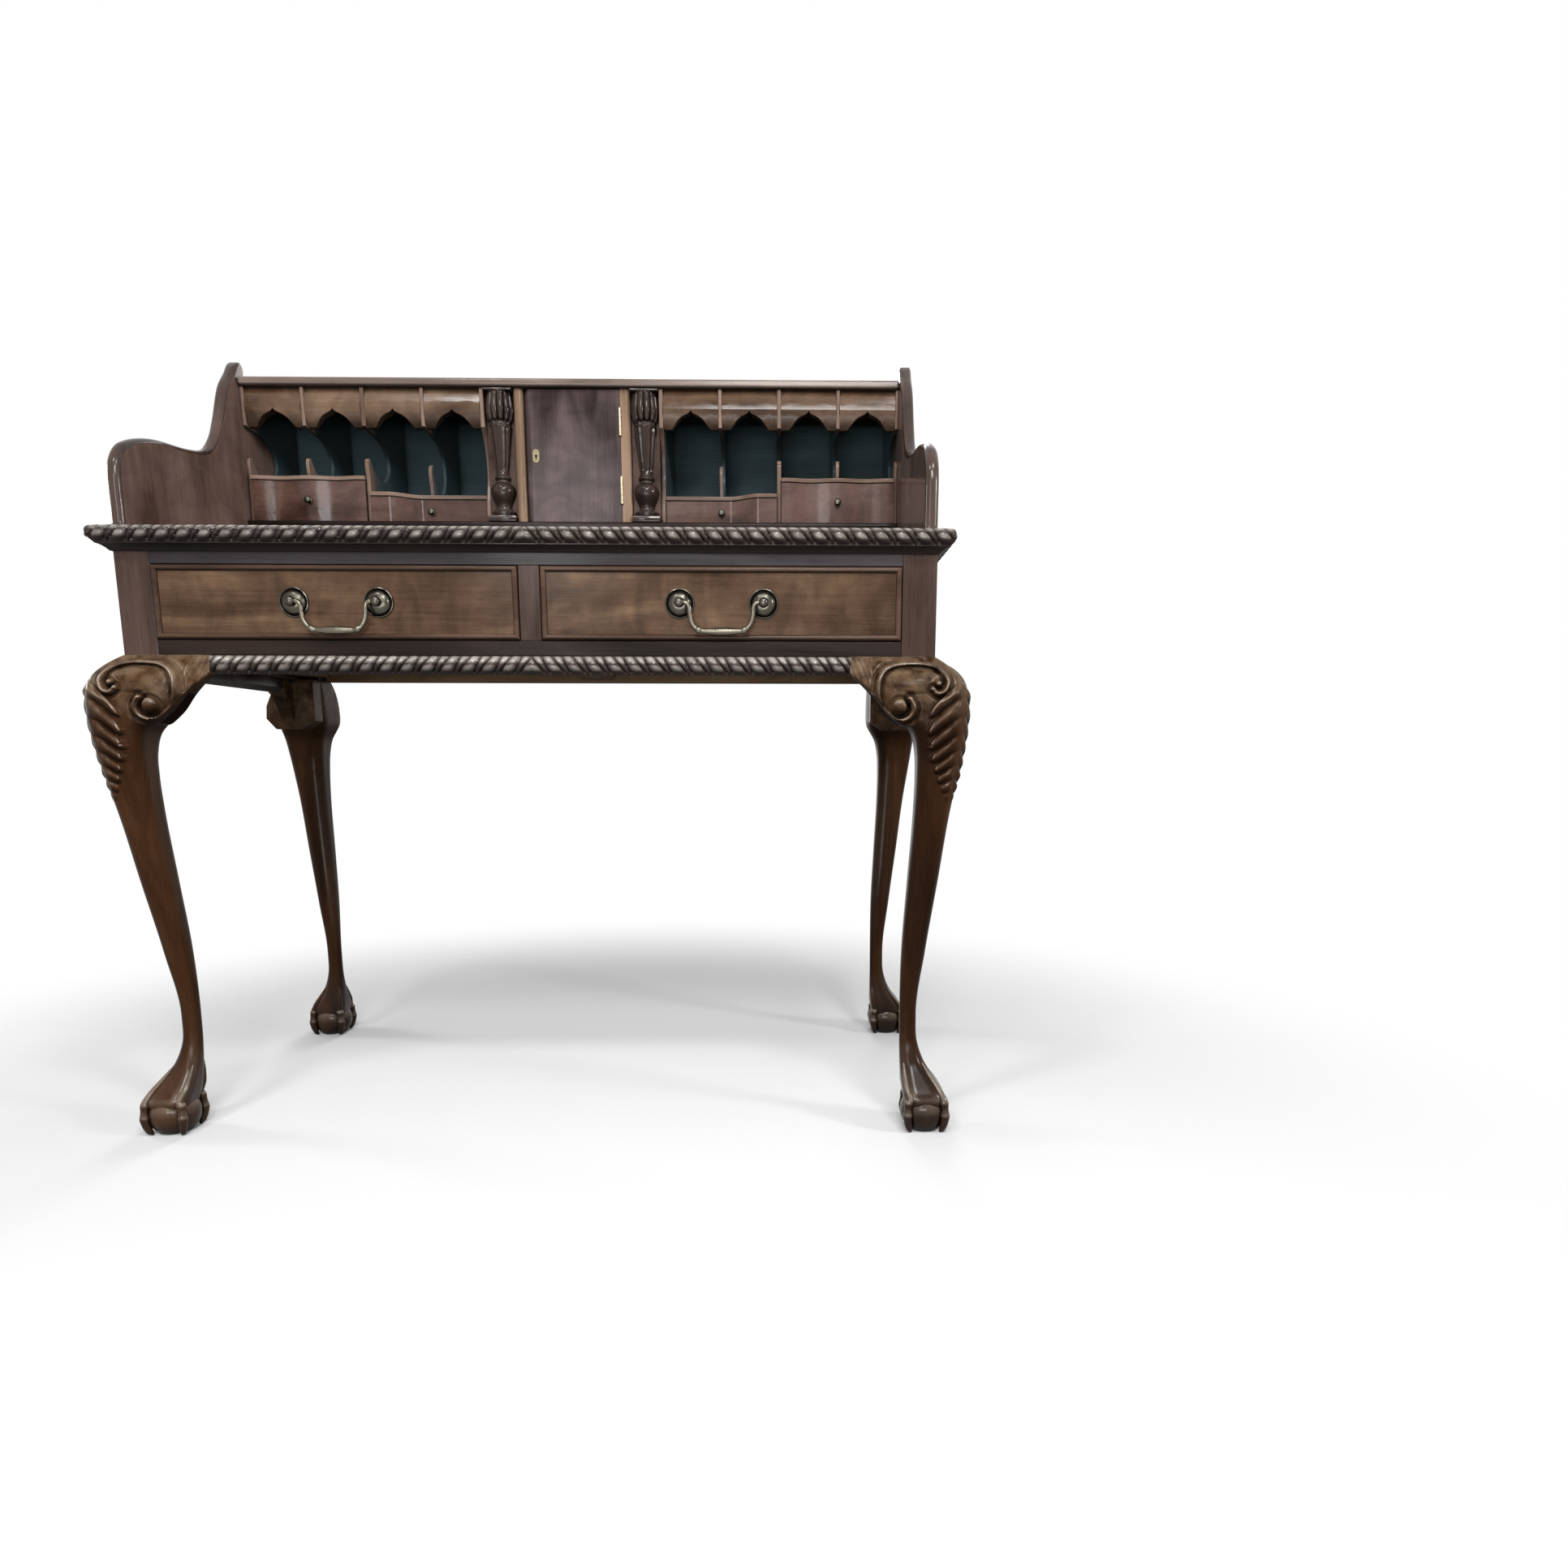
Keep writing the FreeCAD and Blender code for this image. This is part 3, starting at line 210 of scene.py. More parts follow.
def polished_wood(name, dark, middle, light, grain, roughness=0.18, painted_hollow_shade=0.6, figure=0.0, painted_depth_shade=None,
                  top_wear_and_light=None, crown_highlight=None, waxed=None, streaks=(15, 2.6), gloss=0.12):
    """French-polished wood: colour along the grain, fibres, pores, wear lightened with painted light towards
    the top, painted highlights on crowns, painted shade in hollows, between parts and deep inside, and
    undersides rougher and darker with painted shade.
    """
    material = bpy.data.materials.new(name)
    material.use_nodes = True
    tree = material.node_tree
    shader = tree.nodes["Principled BSDF"]
    place = shader_node(tree, "TexCoord", {}).outputs["Object"]

    def stretched(across, lengthwise):
        scale = [across] * 3
        scale["xyz".index(grain)] = lengthwise
        return shader_node(tree, "Mapping", {"Vector": place, "Scale": scale}).outputs[0]

    broad = noise(tree, stretched(*streaks), 1, 4, 0.8)
    fibres = noise(tree, stretched(330, 9), 1, 4)
    pores = noise(tree, stretched(1150, 42), 1, 1)
    mixed = reckoned(tree, "MULTIPLY_ADD", fibres, 0.18, broad)
    colour = colours(tree, mixed, ((0.42, *dark), (0.60, *middle), (0.80, *light)))
    if figure:
        ripple = noise(tree, stretched(20, 34), 1, 3, 0.9)
        lit = ranged(tree, ripple, 0.33, 0.67, 1 - figure, 1 + figure)
        colour = blended(tree, colour, lit, 1, "MULTIPLY")
    open_grain = ranged(tree, pores, 0.60, 0.70, 1.0, 0.72)
    colour = blended(tree, colour, open_grain, 1, "MULTIPLY")
    patchy = ranged(tree, noise(tree, place, 60, 3), 0.33, 0.67)
    geometry = shader_node(tree, "NewGeometry", {}).outputs
    facing = shader_node(tree, "SeparateXYZ", {0: geometry["Normal"]}).outputs[2]
    _, inwards, aloft = shader_node(tree, "SeparateXYZ", {0: place}).outputs
    # The upper part is lightened: partly wear, partly painted light falling from above.
    if top_wear_and_light:
        low, high, lighter_tone = top_wear_and_light
        bared_and_lit = ranged(tree, aloft, low, high)
        bared_and_lit = reckoned(tree, "MULTIPLY", bared_and_lit, patchy)
        colour = blended(tree, colour, (*lighter_tone, 1), bared_and_lit)
    # Painted highlight: crowns, found from how sharply the surface bends and faces upwards, else read from
    # the mesh, are lightened and get a glossy coat.
    if crown_highlight:
        lighter_tone, *sharpness = crown_highlight
        if sharpness:
            low, high = sharpness
            crown = ranged(tree, geometry["Pointiness"], low, high)
            upper = ranged(tree, facing, -0.02, 0.38)
            crown = reckoned(tree, "MULTIPLY", crown, upper)
        else:
            crown = shader_node(tree, "Attribute", {}, attribute_name="crown").outputs["Fac"]
        spared = ranged(tree, patchy, start=0.55, stop=1.0)
        coat = reckoned(tree, "MULTIPLY", crown, spared)
        tinted = coat
        if waxed:
            start, full, most = waxed
            footing = ranged(tree, aloft, start, full, stop=most)
            unwaxed = reckoned(tree, "SUBTRACT", 1.0, footing)
            tinted = reckoned(tree, "MULTIPLY", coat, unwaxed)
            coat = reckoned(tree, "MAXIMUM", coat, footing)
        colour = blended(tree, colour, (*lighter_tone, 1), tinted)
        tree.links.new(coat, shader.inputs["Coat Weight"])
        shader.inputs["Coat Roughness"].default_value = 0.14
    # Painted shade: the colour is darkened where other surfaces hem it in, in hollows, creases and between
    # parts.
    hollow = shader_node(tree, "AmbientOcclusion", {"Distance": 0.008}, samples=8).outputs["AO"]
    shade = ranged(tree, hollow, 0.30, 0.85, 1 - painted_hollow_shade, 1.0)
    colour = blended(tree, colour, shade, 1, "MULTIPLY")
    # Painted shade: faces are darkened to a blue-green the deeper they lie behind the front.
    if painted_depth_shade:
        start, stop, depth_shade_tone = painted_depth_shade
        colour = blended(tree, colour, (*depth_shade_tone, 1), ranged(tree, inwards, start, stop))
    # Painted shade: faces turned downwards are darkened; they are also made rougher.
    below = ranged(tree, facing, -0.10, -0.60)
    painted_underside_shade = (0.35, 0.35, 0.35, 1)
    colour = blended(tree, colour, painted_underside_shade, below, "MULTIPLY")
    tree.links.new(colour, shader.inputs["Base Color"])
    dull = ranged(tree, broad, 0.3, 0.7, roughness - 0.05, roughness + 0.07)
    dull = reckoned(tree, "MULTIPLY_ADD", below, 0.5, dull)
    tree.links.new(dull, shader.inputs["Roughness"])
    shader.inputs["Specular IOR Level"].default_value = gloss
    relief = reckoned(tree, "MULTIPLY_ADD", pores, 0.8, fibres)
    bump = shader_node(tree, "Bump", {"Height": relief, "Strength": 0.12, "Distance": 0.0004})
    tree.links.new(bump.outputs[0], shader.inputs["Normal"])
    return material


def piece(name, bm, material, slot, *nodes):
    """Makes a mesh into a piece that stands for CAD nodes and moves with the body they are on."""
    mesh = bpy.data.meshes.new(name)
    bm.to_mesh(mesh)
    bm.free()
    mesh.materials.append(material)
    mesh.shade_smooth()
    mesh.set_sharp_from_angle(angle=sharp_turn)
    made = bpy.data.objects.new(name, mesh)
    bpy.context.scene.collection.objects.link(made)
    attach(made, frame["nodes"][nodes[0]]["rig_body"])
    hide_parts(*nodes)
    return made


def knee_relief(along, height, from_ridge):
    """How far the carving stands off a knee: scrolled band, eyes, swelling inside it, and leaf."""
    away = np.full(np.shape(along), 1.0)
    for place in traced(scroll_path, 320):
        away = np.minimum(away, np.hypot(along - place[0], height - place[1]))
    aside = (along - swell_middle[0]) / swell_half[0]
    above = (height - swell_middle[1]) / swell_half[1]
    relief = swell_rise * np.clip(1 - (aside ** 2 + above ** 2), 0, 1) ** 0.8
    for eye_along, eye_height, eye_radius in scroll_eyes:
        out = np.hypot(along - eye_along, height - eye_height)
        relief = relief + eye_rise * eye_radius * np.sqrt(np.clip(1 - (out / eye_radius) ** 2, 0, 1))
        edge = out - eye_radius - 0.4 * scroll_groove
        relief = relief - eye_groove_depth * np.exp(-(edge / scroll_groove) ** 2)
    relief = relief + scroll_rise * np.clip(1 - (away / scroll_band) ** 2, 0, 1) ** 0.7
    edge = away - scroll_band - 0.4 * scroll_groove
    relief = relief - scroll_groove_depth * np.exp(-(edge / scroll_groove) ** 2)
    widths = through(leaf_widths, np.clip(height.ravel(), leaf_widths[0][0], leaf_widths[-1][0]))
    width = np.maximum(widths[:, 1].reshape(np.shape(height)), 1e-5)
    near = np.minimum(from_ridge, leaf_reach)
    climbed = height + leaf_slopes[0] * near + leaf_slopes[1] * near ** 2 - leaf_widths[0][0]
    pitch = np.maximum(leaf_pitches[0] + leaf_pitches[1] * climbed, 0.5 * leaf_pitches[0])
    part = np.log(pitch) / leaf_pitches[1] % 1 * 2 - 1
    lobe = 1 - np.abs(part) ** 1.9
    leaf = leaf_rise * pitch * lobe * ramp(from_ridge / width, -0.06, 0.55) - leaf_ground
    leaf = leaf * ramp(height, leaf_widths[-1][0], 0.560) * ramp(height, leaf_widths[0][0], 0.470)
    return relief + leaf * ramp(width * (0.80 + 0.20 * lobe) - from_ridge, -0.0008, 0.0030)


def loop_shares(arc_steps, side_steps):
    """Each point round a rounded square, as shares of its inner face, outer face and radius."""
    inner, outer = (1, 0, 1), (0, 1, -1)
    arcs = []
    for turn, middle in enumerate(((outer, outer), (inner, outer), (inner, inner), (outer, inner))):
        angles = math.pi / 2 * (turn + np.linspace(0, 1, arc_steps[turn] + 1))
        arcs.append([np.add(middle, ((0, 0, math.cos(angle)), (0, 0, math.sin(angle))))
                     for angle in angles])
    points = []
    for turn, arc in enumerate(arcs):
        points.extend(arc)
        following = arcs[(turn + 1) % len(arcs)][0]
        points.extend(arc[-1] + (following - arc[-1]) * share
                      for share in np.linspace(0, 1, side_steps[turn] + 1)[1:-1])
    return np.array(points)


def leg(carved):
    """One leg about the frieze's corner, its origin, with the outer faces towards +X and +Y."""
    bm = bmesh.new()
    knee_rings = 200 if carved else 90
    shares = np.concatenate((np.linspace(1, carved_from, 30),
                             np.linspace(carved_from, carved_to, knee_rings)[1:],
                             np.linspace(carved_to, leg_shares[-1][0], 90)[1:]))
    sections = through(leg_shares, shares)
    inner, outer = sections[:, 1] * stile, sections[:, 2] * stile
    sizes = np.stack((inner, outer, sections[:, 3] * (outer - inner)), axis=1)
    sizes = np.concatenate((sizes[:1], sizes))
    heights = np.concatenate(([stile_top], shares * knee_top))
    arc_steps, side_steps = (36, 8, 8, 8), (56, 8, 8, 56)
    flat = np.einsum("rc,nac->rna", sizes, loop_shares(arc_steps, side_steps))
    points = np.concatenate((flat, np.broadcast_to(heights[:, None, None], (*flat.shape[:2], 1))), axis=2)
    if carved:
        low, high = np.min(flat, axis=2), np.max(flat, axis=2)
        face, turn = sizes[:, 1:2], np.maximum(sizes[:, 2:3], 1e-6)
        rounding = np.arcsin(np.clip((low - face + turn) / turn, 0, 1))
        on_face = turn * math.pi / 4 + face - turn - low
        from_ridge = np.where(low > face - turn, turn * (math.pi / 4 - rounding), on_face)
        shown = np.where(low > face - turn, 1, ramp(high - face, -0.006, -0.002))
        shown = shown * ramp(np.broadcast_to(heights[:, None], low.shape), knee_top, knee_top - 0.004)
        relief = knee_relief(low, np.broadcast_to(heights[:, None], low.shape), from_ridge)
        points = points + outward(points) * (relief * shown)[:, :, None]
    skin(bm, points)
    ball = bmesh.ops.create_uvsphere(bm, u_segments=40, v_segments=24, radius=ball_radius)["verts"]
    bmesh.ops.translate(bm, vec=(0, 0, ball_height), verts=ball)
    for x_way, y_way in ((1, 1), (-1, 1), (-1, -1), (1, -1)):
        path = []
        for height, thickness in tendon_path:
            _, low, high, rounding = through(leg_shares, [height / knee_top])[0] * (1, stile, stile, 1)
            inset = (1 - math.sqrt(0.5)) * rounding * (high - low)
            corner = (high - inset if way > 0 else low + inset for way in (x_way, y_way))
            path.append((*corner, height, thickness))
        for reach, height, thickness in np.array(talon_path) * ball_radius:
            path.append((x_way * reach * math.sqrt(0.5), y_way * reach * math.sqrt(0.5), height, thickness))
        path = traced(path, 60)
        ways = np.gradient(path[:, :3], axis=0)
        rings = []
        for (*centre, thickness), way in zip(path, ways):
            side_way = Vector(way).cross((x_way, y_way, 0)).normalized()
            across = side_way.cross(way).normalized()
            rings.append(ring(centre, across, side_way, thickness, 16))
        skin(bm, rings)
    for vert in bm.verts:
        vert.co.z = max(vert.co.z, 0)
    return bm


# The knee tops are lighter, partly wear and partly painted light from above; their raised crowns carry a
# painted highlight.
knee_top_wear_and_light = (0.525, 0.592, (0.160, 0.104, 0.062))
foot_wax = (0.120, 0.075, 0.30)
knee_crown_highlights = ((0.300, 0.230, 0.170), 0.507, 0.538)
leg_tones = ((0.014, 0.0052, 0.0018), (0.036, 0.0140, 0.0050), (0.075, 0.032, 0.0130))
leg_wood = polished_wood(
    "leg_mahogany", *leg_tones, "z", roughness=0.22, painted_hollow_shade=0.92, top_wear_and_light=knee_top_wear_and_light, crown_highlight=knee_crown_highlights,
    waxed=foot_wax, gloss=0.05)
stile_wood = polished_wood(
    "stile_mahogany", (0.026, 0.0140, 0.0100), (0.056, 0.0335, 0.0260), (0.096, 0.060, 0.048), "z")
for front, y_way in (("front", -1), ("back", 1)):
    pattern = leg(front == "front")
    for side, x_way in (("left", -1), ("right", 1)):
        bm = pattern.copy()
        bmesh.ops.scale(bm, vec=(x_way, y_way, 1), verts=bm.verts)
        bmesh.ops.translate(bm, vec=(x_way * corner_x, y_way * corner_y, 0), verts=bm.verts)
        bmesh.ops.recalc_face_normals(bm, faces=bm.faces)
        made = piece(f"carved_leg_{front}_{side}", bm, leg_wood, "mahogany", f"leg_{front}_{side}")
        made.data.materials.append(stile_wood)
        for face in made.data.polygons:
            face.material_index = int(face.center.z > knee_top)
    pattern.free()


# Knee brackets: mahogany ears glued to both sides of a front knee, where they carry its scroll on to
# the strip under the frieze. The back knees have one each, a plain block towards the side of the desk.
bracket_length = 0.063
bracket_back = 0.008
bracket_tip, bracket_tuck, bracket_undercut = 0.30, 0.03, 0.16
rib_start, rib_level, rib_lean = -0.079, 0.600, 0.3
rib_pitch, rib_rise = 0.0065, 0.0010
bracket_curve = (
    (-0.1055, 0.590), (-0.088, 0.575), (-0.077, 0.563), (-0.065, 0.547), (-0.053, 0.5355),
    (-0.044, 0.529), (-0.035, 0.527), (-0.014, 0.525),
)


def eased(node, material, slot, width=0.0008, segments=3, name=None, keep=None, flat=0.4):
    """A copy of a CAD board, or of what is kept of it, with its arrises taken off."""
    bm = bmesh.new()
    bm.from_mesh(frame["nodes"][node].data)
    if keep:
        bmesh.ops.delete(bm, geom=[vert for vert in bm.verts if not keep(vert.co)], context="VERTS")
    bmesh.ops.remove_doubles(bm, verts=bm.verts, dist=1e-6)
    bmesh.ops.dissolve_limit(bm, angle_limit=math.radians(flat), verts=bm.verts, edges=bm.edges)
    made = piece(name or f"{node}_eased", bm, material, slot, node)
    edges = made.modifiers.new("eased_edges", "BEVEL")
    edges.limit_method = "ANGLE"
    edges.angle_limit = math.radians(38)
    edges.width = width
    edges.segments = segments
    level = made.modifiers.new("level_faces", "WEIGHTED_NORMAL")
    level.weight = 100
    level.keep_sharp = True
    return made


def bracket():
    """One bracket about the frieze's corner, with its face towards +Y and its tip towards -X."""
    bm = bmesh.new()
    along = np.linspace(-stile - bracket_length, -0.014, 120)
    under = through(bracket_curve, along)[:, 1]
    down = np.linspace(0, 1, 72) ** 1.25
    height = knee_top - down[None, :] * (knee_top - under[:, None])
    swell = through(leg_shares, (height / knee_top).ravel())[:, 2].reshape(height.shape) * stile
    held = bracket_tip + (1 - bracket_tip) * ramp(along, -0.104, -0.050)
    held = held - bracket_tuck * ramp(along, -0.027, -0.018)
    out = swell * held[:, None] * (1 - bracket_undercut * down[None, :] ** 9)
    spread = np.broadcast_to(along[:, None], height.shape)
    relief = knee_relief(spread, height, np.full(height.shape, 1.0))
    slanted = rib_start - spread + rib_lean * (rib_level - height)
    ribs = np.abs(np.sin(math.pi * slanted / rib_pitch))
    relief = relief + rib_rise * ribs * ramp(spread, rib_start + 0.001, rib_start - 0.002)
    out = out + relief * ramp(down, 0.02, 0.10)[None, :] * ramp(1 - down, 0, 0.06)[None, :]
    back = np.full((len(along), 1), -bracket_back)
    sides = np.concatenate((out, out[:, -1:] * 0.5, back, back, back * 0), axis=1)
    levels = np.concatenate((height, height[:, -1:], height[:, -1:], height[:, :1], height[:, :1]), axis=1)
    skin(bm, np.stack((np.broadcast_to(along[:, None], sides.shape), sides, levels), axis=2))
    return bm


bracket_wood = polished_wood(
    "bracket_mahogany", *leg_tones, "x", roughness=0.22, painted_hollow_shade=0.92, top_wear_and_light=knee_top_wear_and_light, crown_highlight=knee_crown_highlights,
    gloss=0.05)
bare_wood = polished_wood(
    "unpolished_mahogany", (0.010, 0.0055, 0.0035), (0.020, 0.0105, 0.0070), (0.034, 0.019, 0.013), "x",
    roughness=0.75, gloss=0.03)
for name, turned_side in (("front", False), ("side", True)):
    for side, x_way in (("left", -1), ("right", 1)):
        bm = bracket()
        if turned_side:
            swapped = Matrix(((0, 1, 0), (1, 0, 0), (0, 0, 1))).to_4x4()
            bmesh.ops.transform(bm, matrix=swapped, verts=bm.verts)
        bmesh.ops.scale(bm, vec=(x_way, -1, 1), verts=bm.verts)
        bmesh.ops.translate(bm, vec=(x_way * corner_x, -corner_y, 0), verts=bm.verts)
        bmesh.ops.recalc_face_normals(bm, faces=bm.faces)
        made = piece(f"knee_bracket_{name}_{side}", bm, bracket_wood, "mahogany", "knee_brackets")
        made.data.materials.append(bare_wood)
        for face in made.data.polygons:
            face.material_index = int(face.normal.z < -0.5 and face.area > 2e-5)
eased("knee_brackets", bracket_wood, "mahogany", 0.002, 3, "knee_brackets_back", lambda place: place.y > 0)


# Frieze frame: mahogany rails above and below the drawers, the upright between them and the side rails,
# tenoned into the stiles. The back rail, drawer runners and glue blocks are plain and out of sight.
mahogany = ((0.034, 0.0165, 0.0110), (0.066, 0.0350, 0.0250), (0.105, 0.060, 0.045))
# The top rail under the moulding is a bluish dark grey: painted shade from the moulding with painted blue
# light.
shaded_wood = polished_wood(
    "shaded_mahogany", (0.026, 0.0210, 0.0220), (0.048, 0.0410, 0.0430), (0.074, 0.065, 0.068), "x")
dark_wood = polished_wood(
    "dark_mahogany", (0.009, 0.0052, 0.0042), (0.018, 0.0105, 0.0085), (0.032, 0.019, 0.015), "x")
rail_wood = {way: polished_wood(f"mahogany_along_{way}", *mahogany, way) for way in "xy"}
carcase_tones = ((0.13, 0.075, 0.04), (0.24, 0.15, 0.085), (0.34, 0.23, 0.14))
hidden_wood = {way: polished_wood(f"carcase_wood_along_{way}", *carcase_tones, way, roughness=0.62)
               for way in "xy"}
for node, wood in (
        ("front_top_rail", shaded_wood), ("front_bottom_rail", dark_wood),
        ("drawer_divider", stile_wood), ("side_rails", rail_wood["y"])):
    eased(node, wood, "mahogany")
for node, way in (("back_rail", "x"), ("drawer_runners", "y"), ("glue_blocks", "x")):
    eased(node, hidden_wood[way], "carcase_wood")


# Table top: one mahogany board, with a gadrooned moulding glued to its front and sides and mitred at
# the corners. A second, smaller gadrooned strip is glued under the frieze between the knees.
eased("table_top", rail_wood["x"], "mahogany", 0.0012)
gadroon_pitch = 0.025
gadroon_steps = 22
gadroon_spread = (0.50, 0.78)
gadroon_groove = 0.0052
reed_drop = 0.0008
gadroon_lean = 0.014
# Where the lobes carry a painted highlight: near their tops, and lower down on the fat lobes.
highlight_tops = (0.02, 0.14, 0.28, 0.48)
highlight_tails = (0.48, 0.58, 0.66, 0.80)
tail_share = 0.6
lower_fade = (1.0, 0.90)


def arc(start, middle, stop, count):
    """Points of the circle through three points, from the first to the last."""
    start, middle, stop = (np.array(point, dtype=float) for point in (start, middle, stop))
    lines = np.array((middle - start, stop - start)) * 2
    sums = np.array((middle @ middle - start @ start, stop @ stop - start @ start))
    centre = np.linalg.solve(lines, sums)
    angles = np.unwrap([math.atan2(*(point - centre)[::-1]) for point in (start, middle, stop)])
    radius = np.linalg.norm(start - centre)
    turns = np.linspace(angles[0], angles[2], count)
    return centre + radius * np.stack((np.cos(turns), np.sin(turns)), axis=1)


def lobes(turns, fat_share):
    """A fat lobe and a thin reed in each turn: how deep, how near the crown, and which is fat."""
    part = (turns + fat_share / 2) % 1
    fat = part < fat_share
    across = np.where(fat, part / fat_share, (part - fat_share) / (1 - fat_share)) * 2 - 1
    crown = np.sqrt(np.clip(1 - across ** 2, 0, 1))
    least = np.where(fat, 0, reed_drop)
    depth = least + (gadroon_groove - least) * (1 - crown)
    return depth, crown, fat


def gadroon_strip(profile, carved, fade, start, stop, mitre_start, mitre_stop, mirrored):
    """A moulding along one edge, as out, along and up, with the carved part of its profile cut."""
    bm = bmesh.new()
    profile = np.array(profile)
    first, last = carved
    across = np.zeros(len(profile))
    across[first:last] = np.linspace(0, 1, last - first)
    cut = np.zeros(len(profile))
    cut[first:last] = ramp(across[first:last], *fade) * ramp(across[first:last], *lower_fade)
    way = np.gradient(profile, axis=0)
    inner = np.stack((way[:, 1], -way[:, 0]), axis=1)
    inner = inner / np.maximum(np.linalg.norm(inner, axis=1, keepdims=True), 1e-9)
    count = int((stop - start) / gadroon_pitch * gadroon_steps)
    along = np.linspace(0, 1, count)[:, None]
    low, high = start - mitre_start * profile[:, 0], stop + mitre_stop * profile[:, 0]
    places = low[None, :] + (high - low)[None, :] * along
    counted = np.abs(places) if mirrored else places
    turns = (counted - gadroon_lean * (across[None, :] - 0.5)) / gadroon_pitch
    depth, crown, fat = lobes(turns, np.interp(across, (0, 1), gadroon_spread)[None, :])
    shown = profile[None, :, :] + inner[None, :, :] * (depth * cut[None, :])[:, :, None]
    tops, tails = (ramp(across, rise, full) * ramp(across, gone, fading)
                   for rise, full, fading, gone in (highlight_tops, highlight_tails))
    # Painted highlight on each lobe's crown.
    highlight_shares = crown ** 3 * (tops + tail_share * tails * fat)
    skin(bm, np.stack((shown[:, :, 0], places, shown[:, :, 1]), axis=2), highlight_shares)
    return bm


ovolo = arc((0.006, 0.020), (0.020, 0.0105), (0.013, 0.001), 22)
cove = arc((0.013, 0), (0.00433, -0.00467), (0.00233, -0.007), 9)
top_profile = np.concatenate((ovolo, cove, ((0, -0.007), (0, 0), (0.006, 0))))
apron_round = arc((0, 0), (0.008, -0.0115), (0, -0.023), 24)
apron_profile = np.concatenate((apron_round, ((-0.012, -0.0153), (-0.012, 0))))
# Dark gadroons with pale grey painted highlights on their crowns.
gadroon_wood = polished_wood(
    "gadroon_mahogany", (0.018, 0.0115, 0.0090), (0.036, 0.0240, 0.0195), (0.060, 0.042, 0.035), "x",
    roughness=0.15, painted_hollow_shade=0.95, crown_highlight=((0.440, 0.390, 0.350),), gloss=0.16)
apron_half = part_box("front_bottom_rail")[1].x - bracket_length
side_half = corner_y - stile - bracket_length
for node, profile, carved, fade, level, front_half, side_ends, mitre in (
        ("top_gadroon", top_profile, (0, len(ovolo)), (0.08, 0.40), stile_top, corner_x,
         (-corner_y, corner_y), 1),
        ("apron_gadroon", apron_profile, (0, len(apron_round)), (0.0, 0.22), knee_top, apron_half,
         (-side_half, side_half), 0)):
    for name, x_way in (("front", 0), ("left", -1), ("right", 1)):
        if name == "front":
            bm = gadroon_strip(profile, carved, fade, -front_half, front_half, mitre, mitre, True)
            turn = Matrix(((0, 1, 0, 0), (-1, 0, 0, -corner_y), (0, 0, 1, level), (0, 0, 0, 1)))
        else:
            bm = gadroon_strip(profile, carved, fade, *side_ends, mitre, 0, False)
            turn = Matrix(((x_way, 0, 0, x_way * corner_x), (0, 1, 0, 0), (0, 0, 1, level), (0, 0, 0, 1)))
        bmesh.ops.transform(bm, matrix=turn, verts=bm.verts)
        bmesh.ops.recalc_face_normals(bm, faces=bm.faces)
        piece(f"{node}_{name}", bm, gadroon_wood, "mahogany", node)


# Frieze drawers: figured mahogany fronts with a half-round cock bead let in round the edge, and
# dovetailed boxes of a paler lining wood.
drawer_wood = polished_wood(
    "figured_mahogany_along_x", (0.038, 0.0190, 0.0105), (0.090, 0.0510, 0.0300),
    (0.160, 0.0970, 0.0570), "x", roughness=0.17, figure=0.26, streaks=(13, 5))
bead_wood = polished_wood(
    "bead_mahogany", (0.038, 0.020, 0.013), (0.074, 0.041, 0.027), (0.125, 0.074, 0.051), "x")
lining_wood = polished_wood(
    "lining_wood_along_y", (0.22, 0.13, 0.065), (0.36, 0.23, 0.125), (0.47, 0.33, 0.20), "y",
    roughness=0.6)
for side in ("left", "right"):
    eased(f"drawer_{side}_front", drawer_wood, "figured_mahogany", 0.0005)
    eased(f"drawer_{side}_bead", bead_wood, "mahogany", 0.0004)
    eased(f"drawer_{side}_box", lining_wood, "drawer_lining", 0.0006)


# Drawer handles: cast brass swan-neck bails that swing on two posts, each post through a turned
# rosette. The brass is old and dark, and worn bright where it stands out.
def aged_brass(name, dark, bright, roughness):
    """Old metal, dark in its hollows and patches, and brightened by rubbing where it stands out."""
    material = bpy.data.materials.new(name)
    material.use_nodes = True
    tree = material.node_tree
    shader = tree.nodes["Principled BSDF"]
    place = shader_node(tree, "TexCoord", {}).outputs["Object"]
    patches = noise(tree, place, 130, 4, 0.5)
    hollow = shader_node(tree, "AmbientOcclusion", {"Distance": 0.004}, samples=8,
                         only_local=True).outputs["AO"]
    open_metal = ranged(tree, hollow, 0.45, 1.0, 0.0, 0.75)
    shown = reckoned(tree, "MULTIPLY_ADD", patches, 0.4, open_metal)
    colour = colours(tree, shown, ((0.25, *dark), (0.95, *bright)))
    tree.links.new(colour, shader.inputs["Base Color"])
    dull = ranged(tree, patches, 0.3, 0.7, roughness - 0.06, roughness + 0.14)
    tree.links.new(dull, shader.inputs["Roughness"])
    shader.inputs["Metallic"].default_value = 1.0
    bump = shader_node(tree, "Bump", {"Height": patches, "Strength": 0.08, "Distance": 0.0004})
    tree.links.new(bump.outputs[0], shader.inputs["Normal"])
    return material


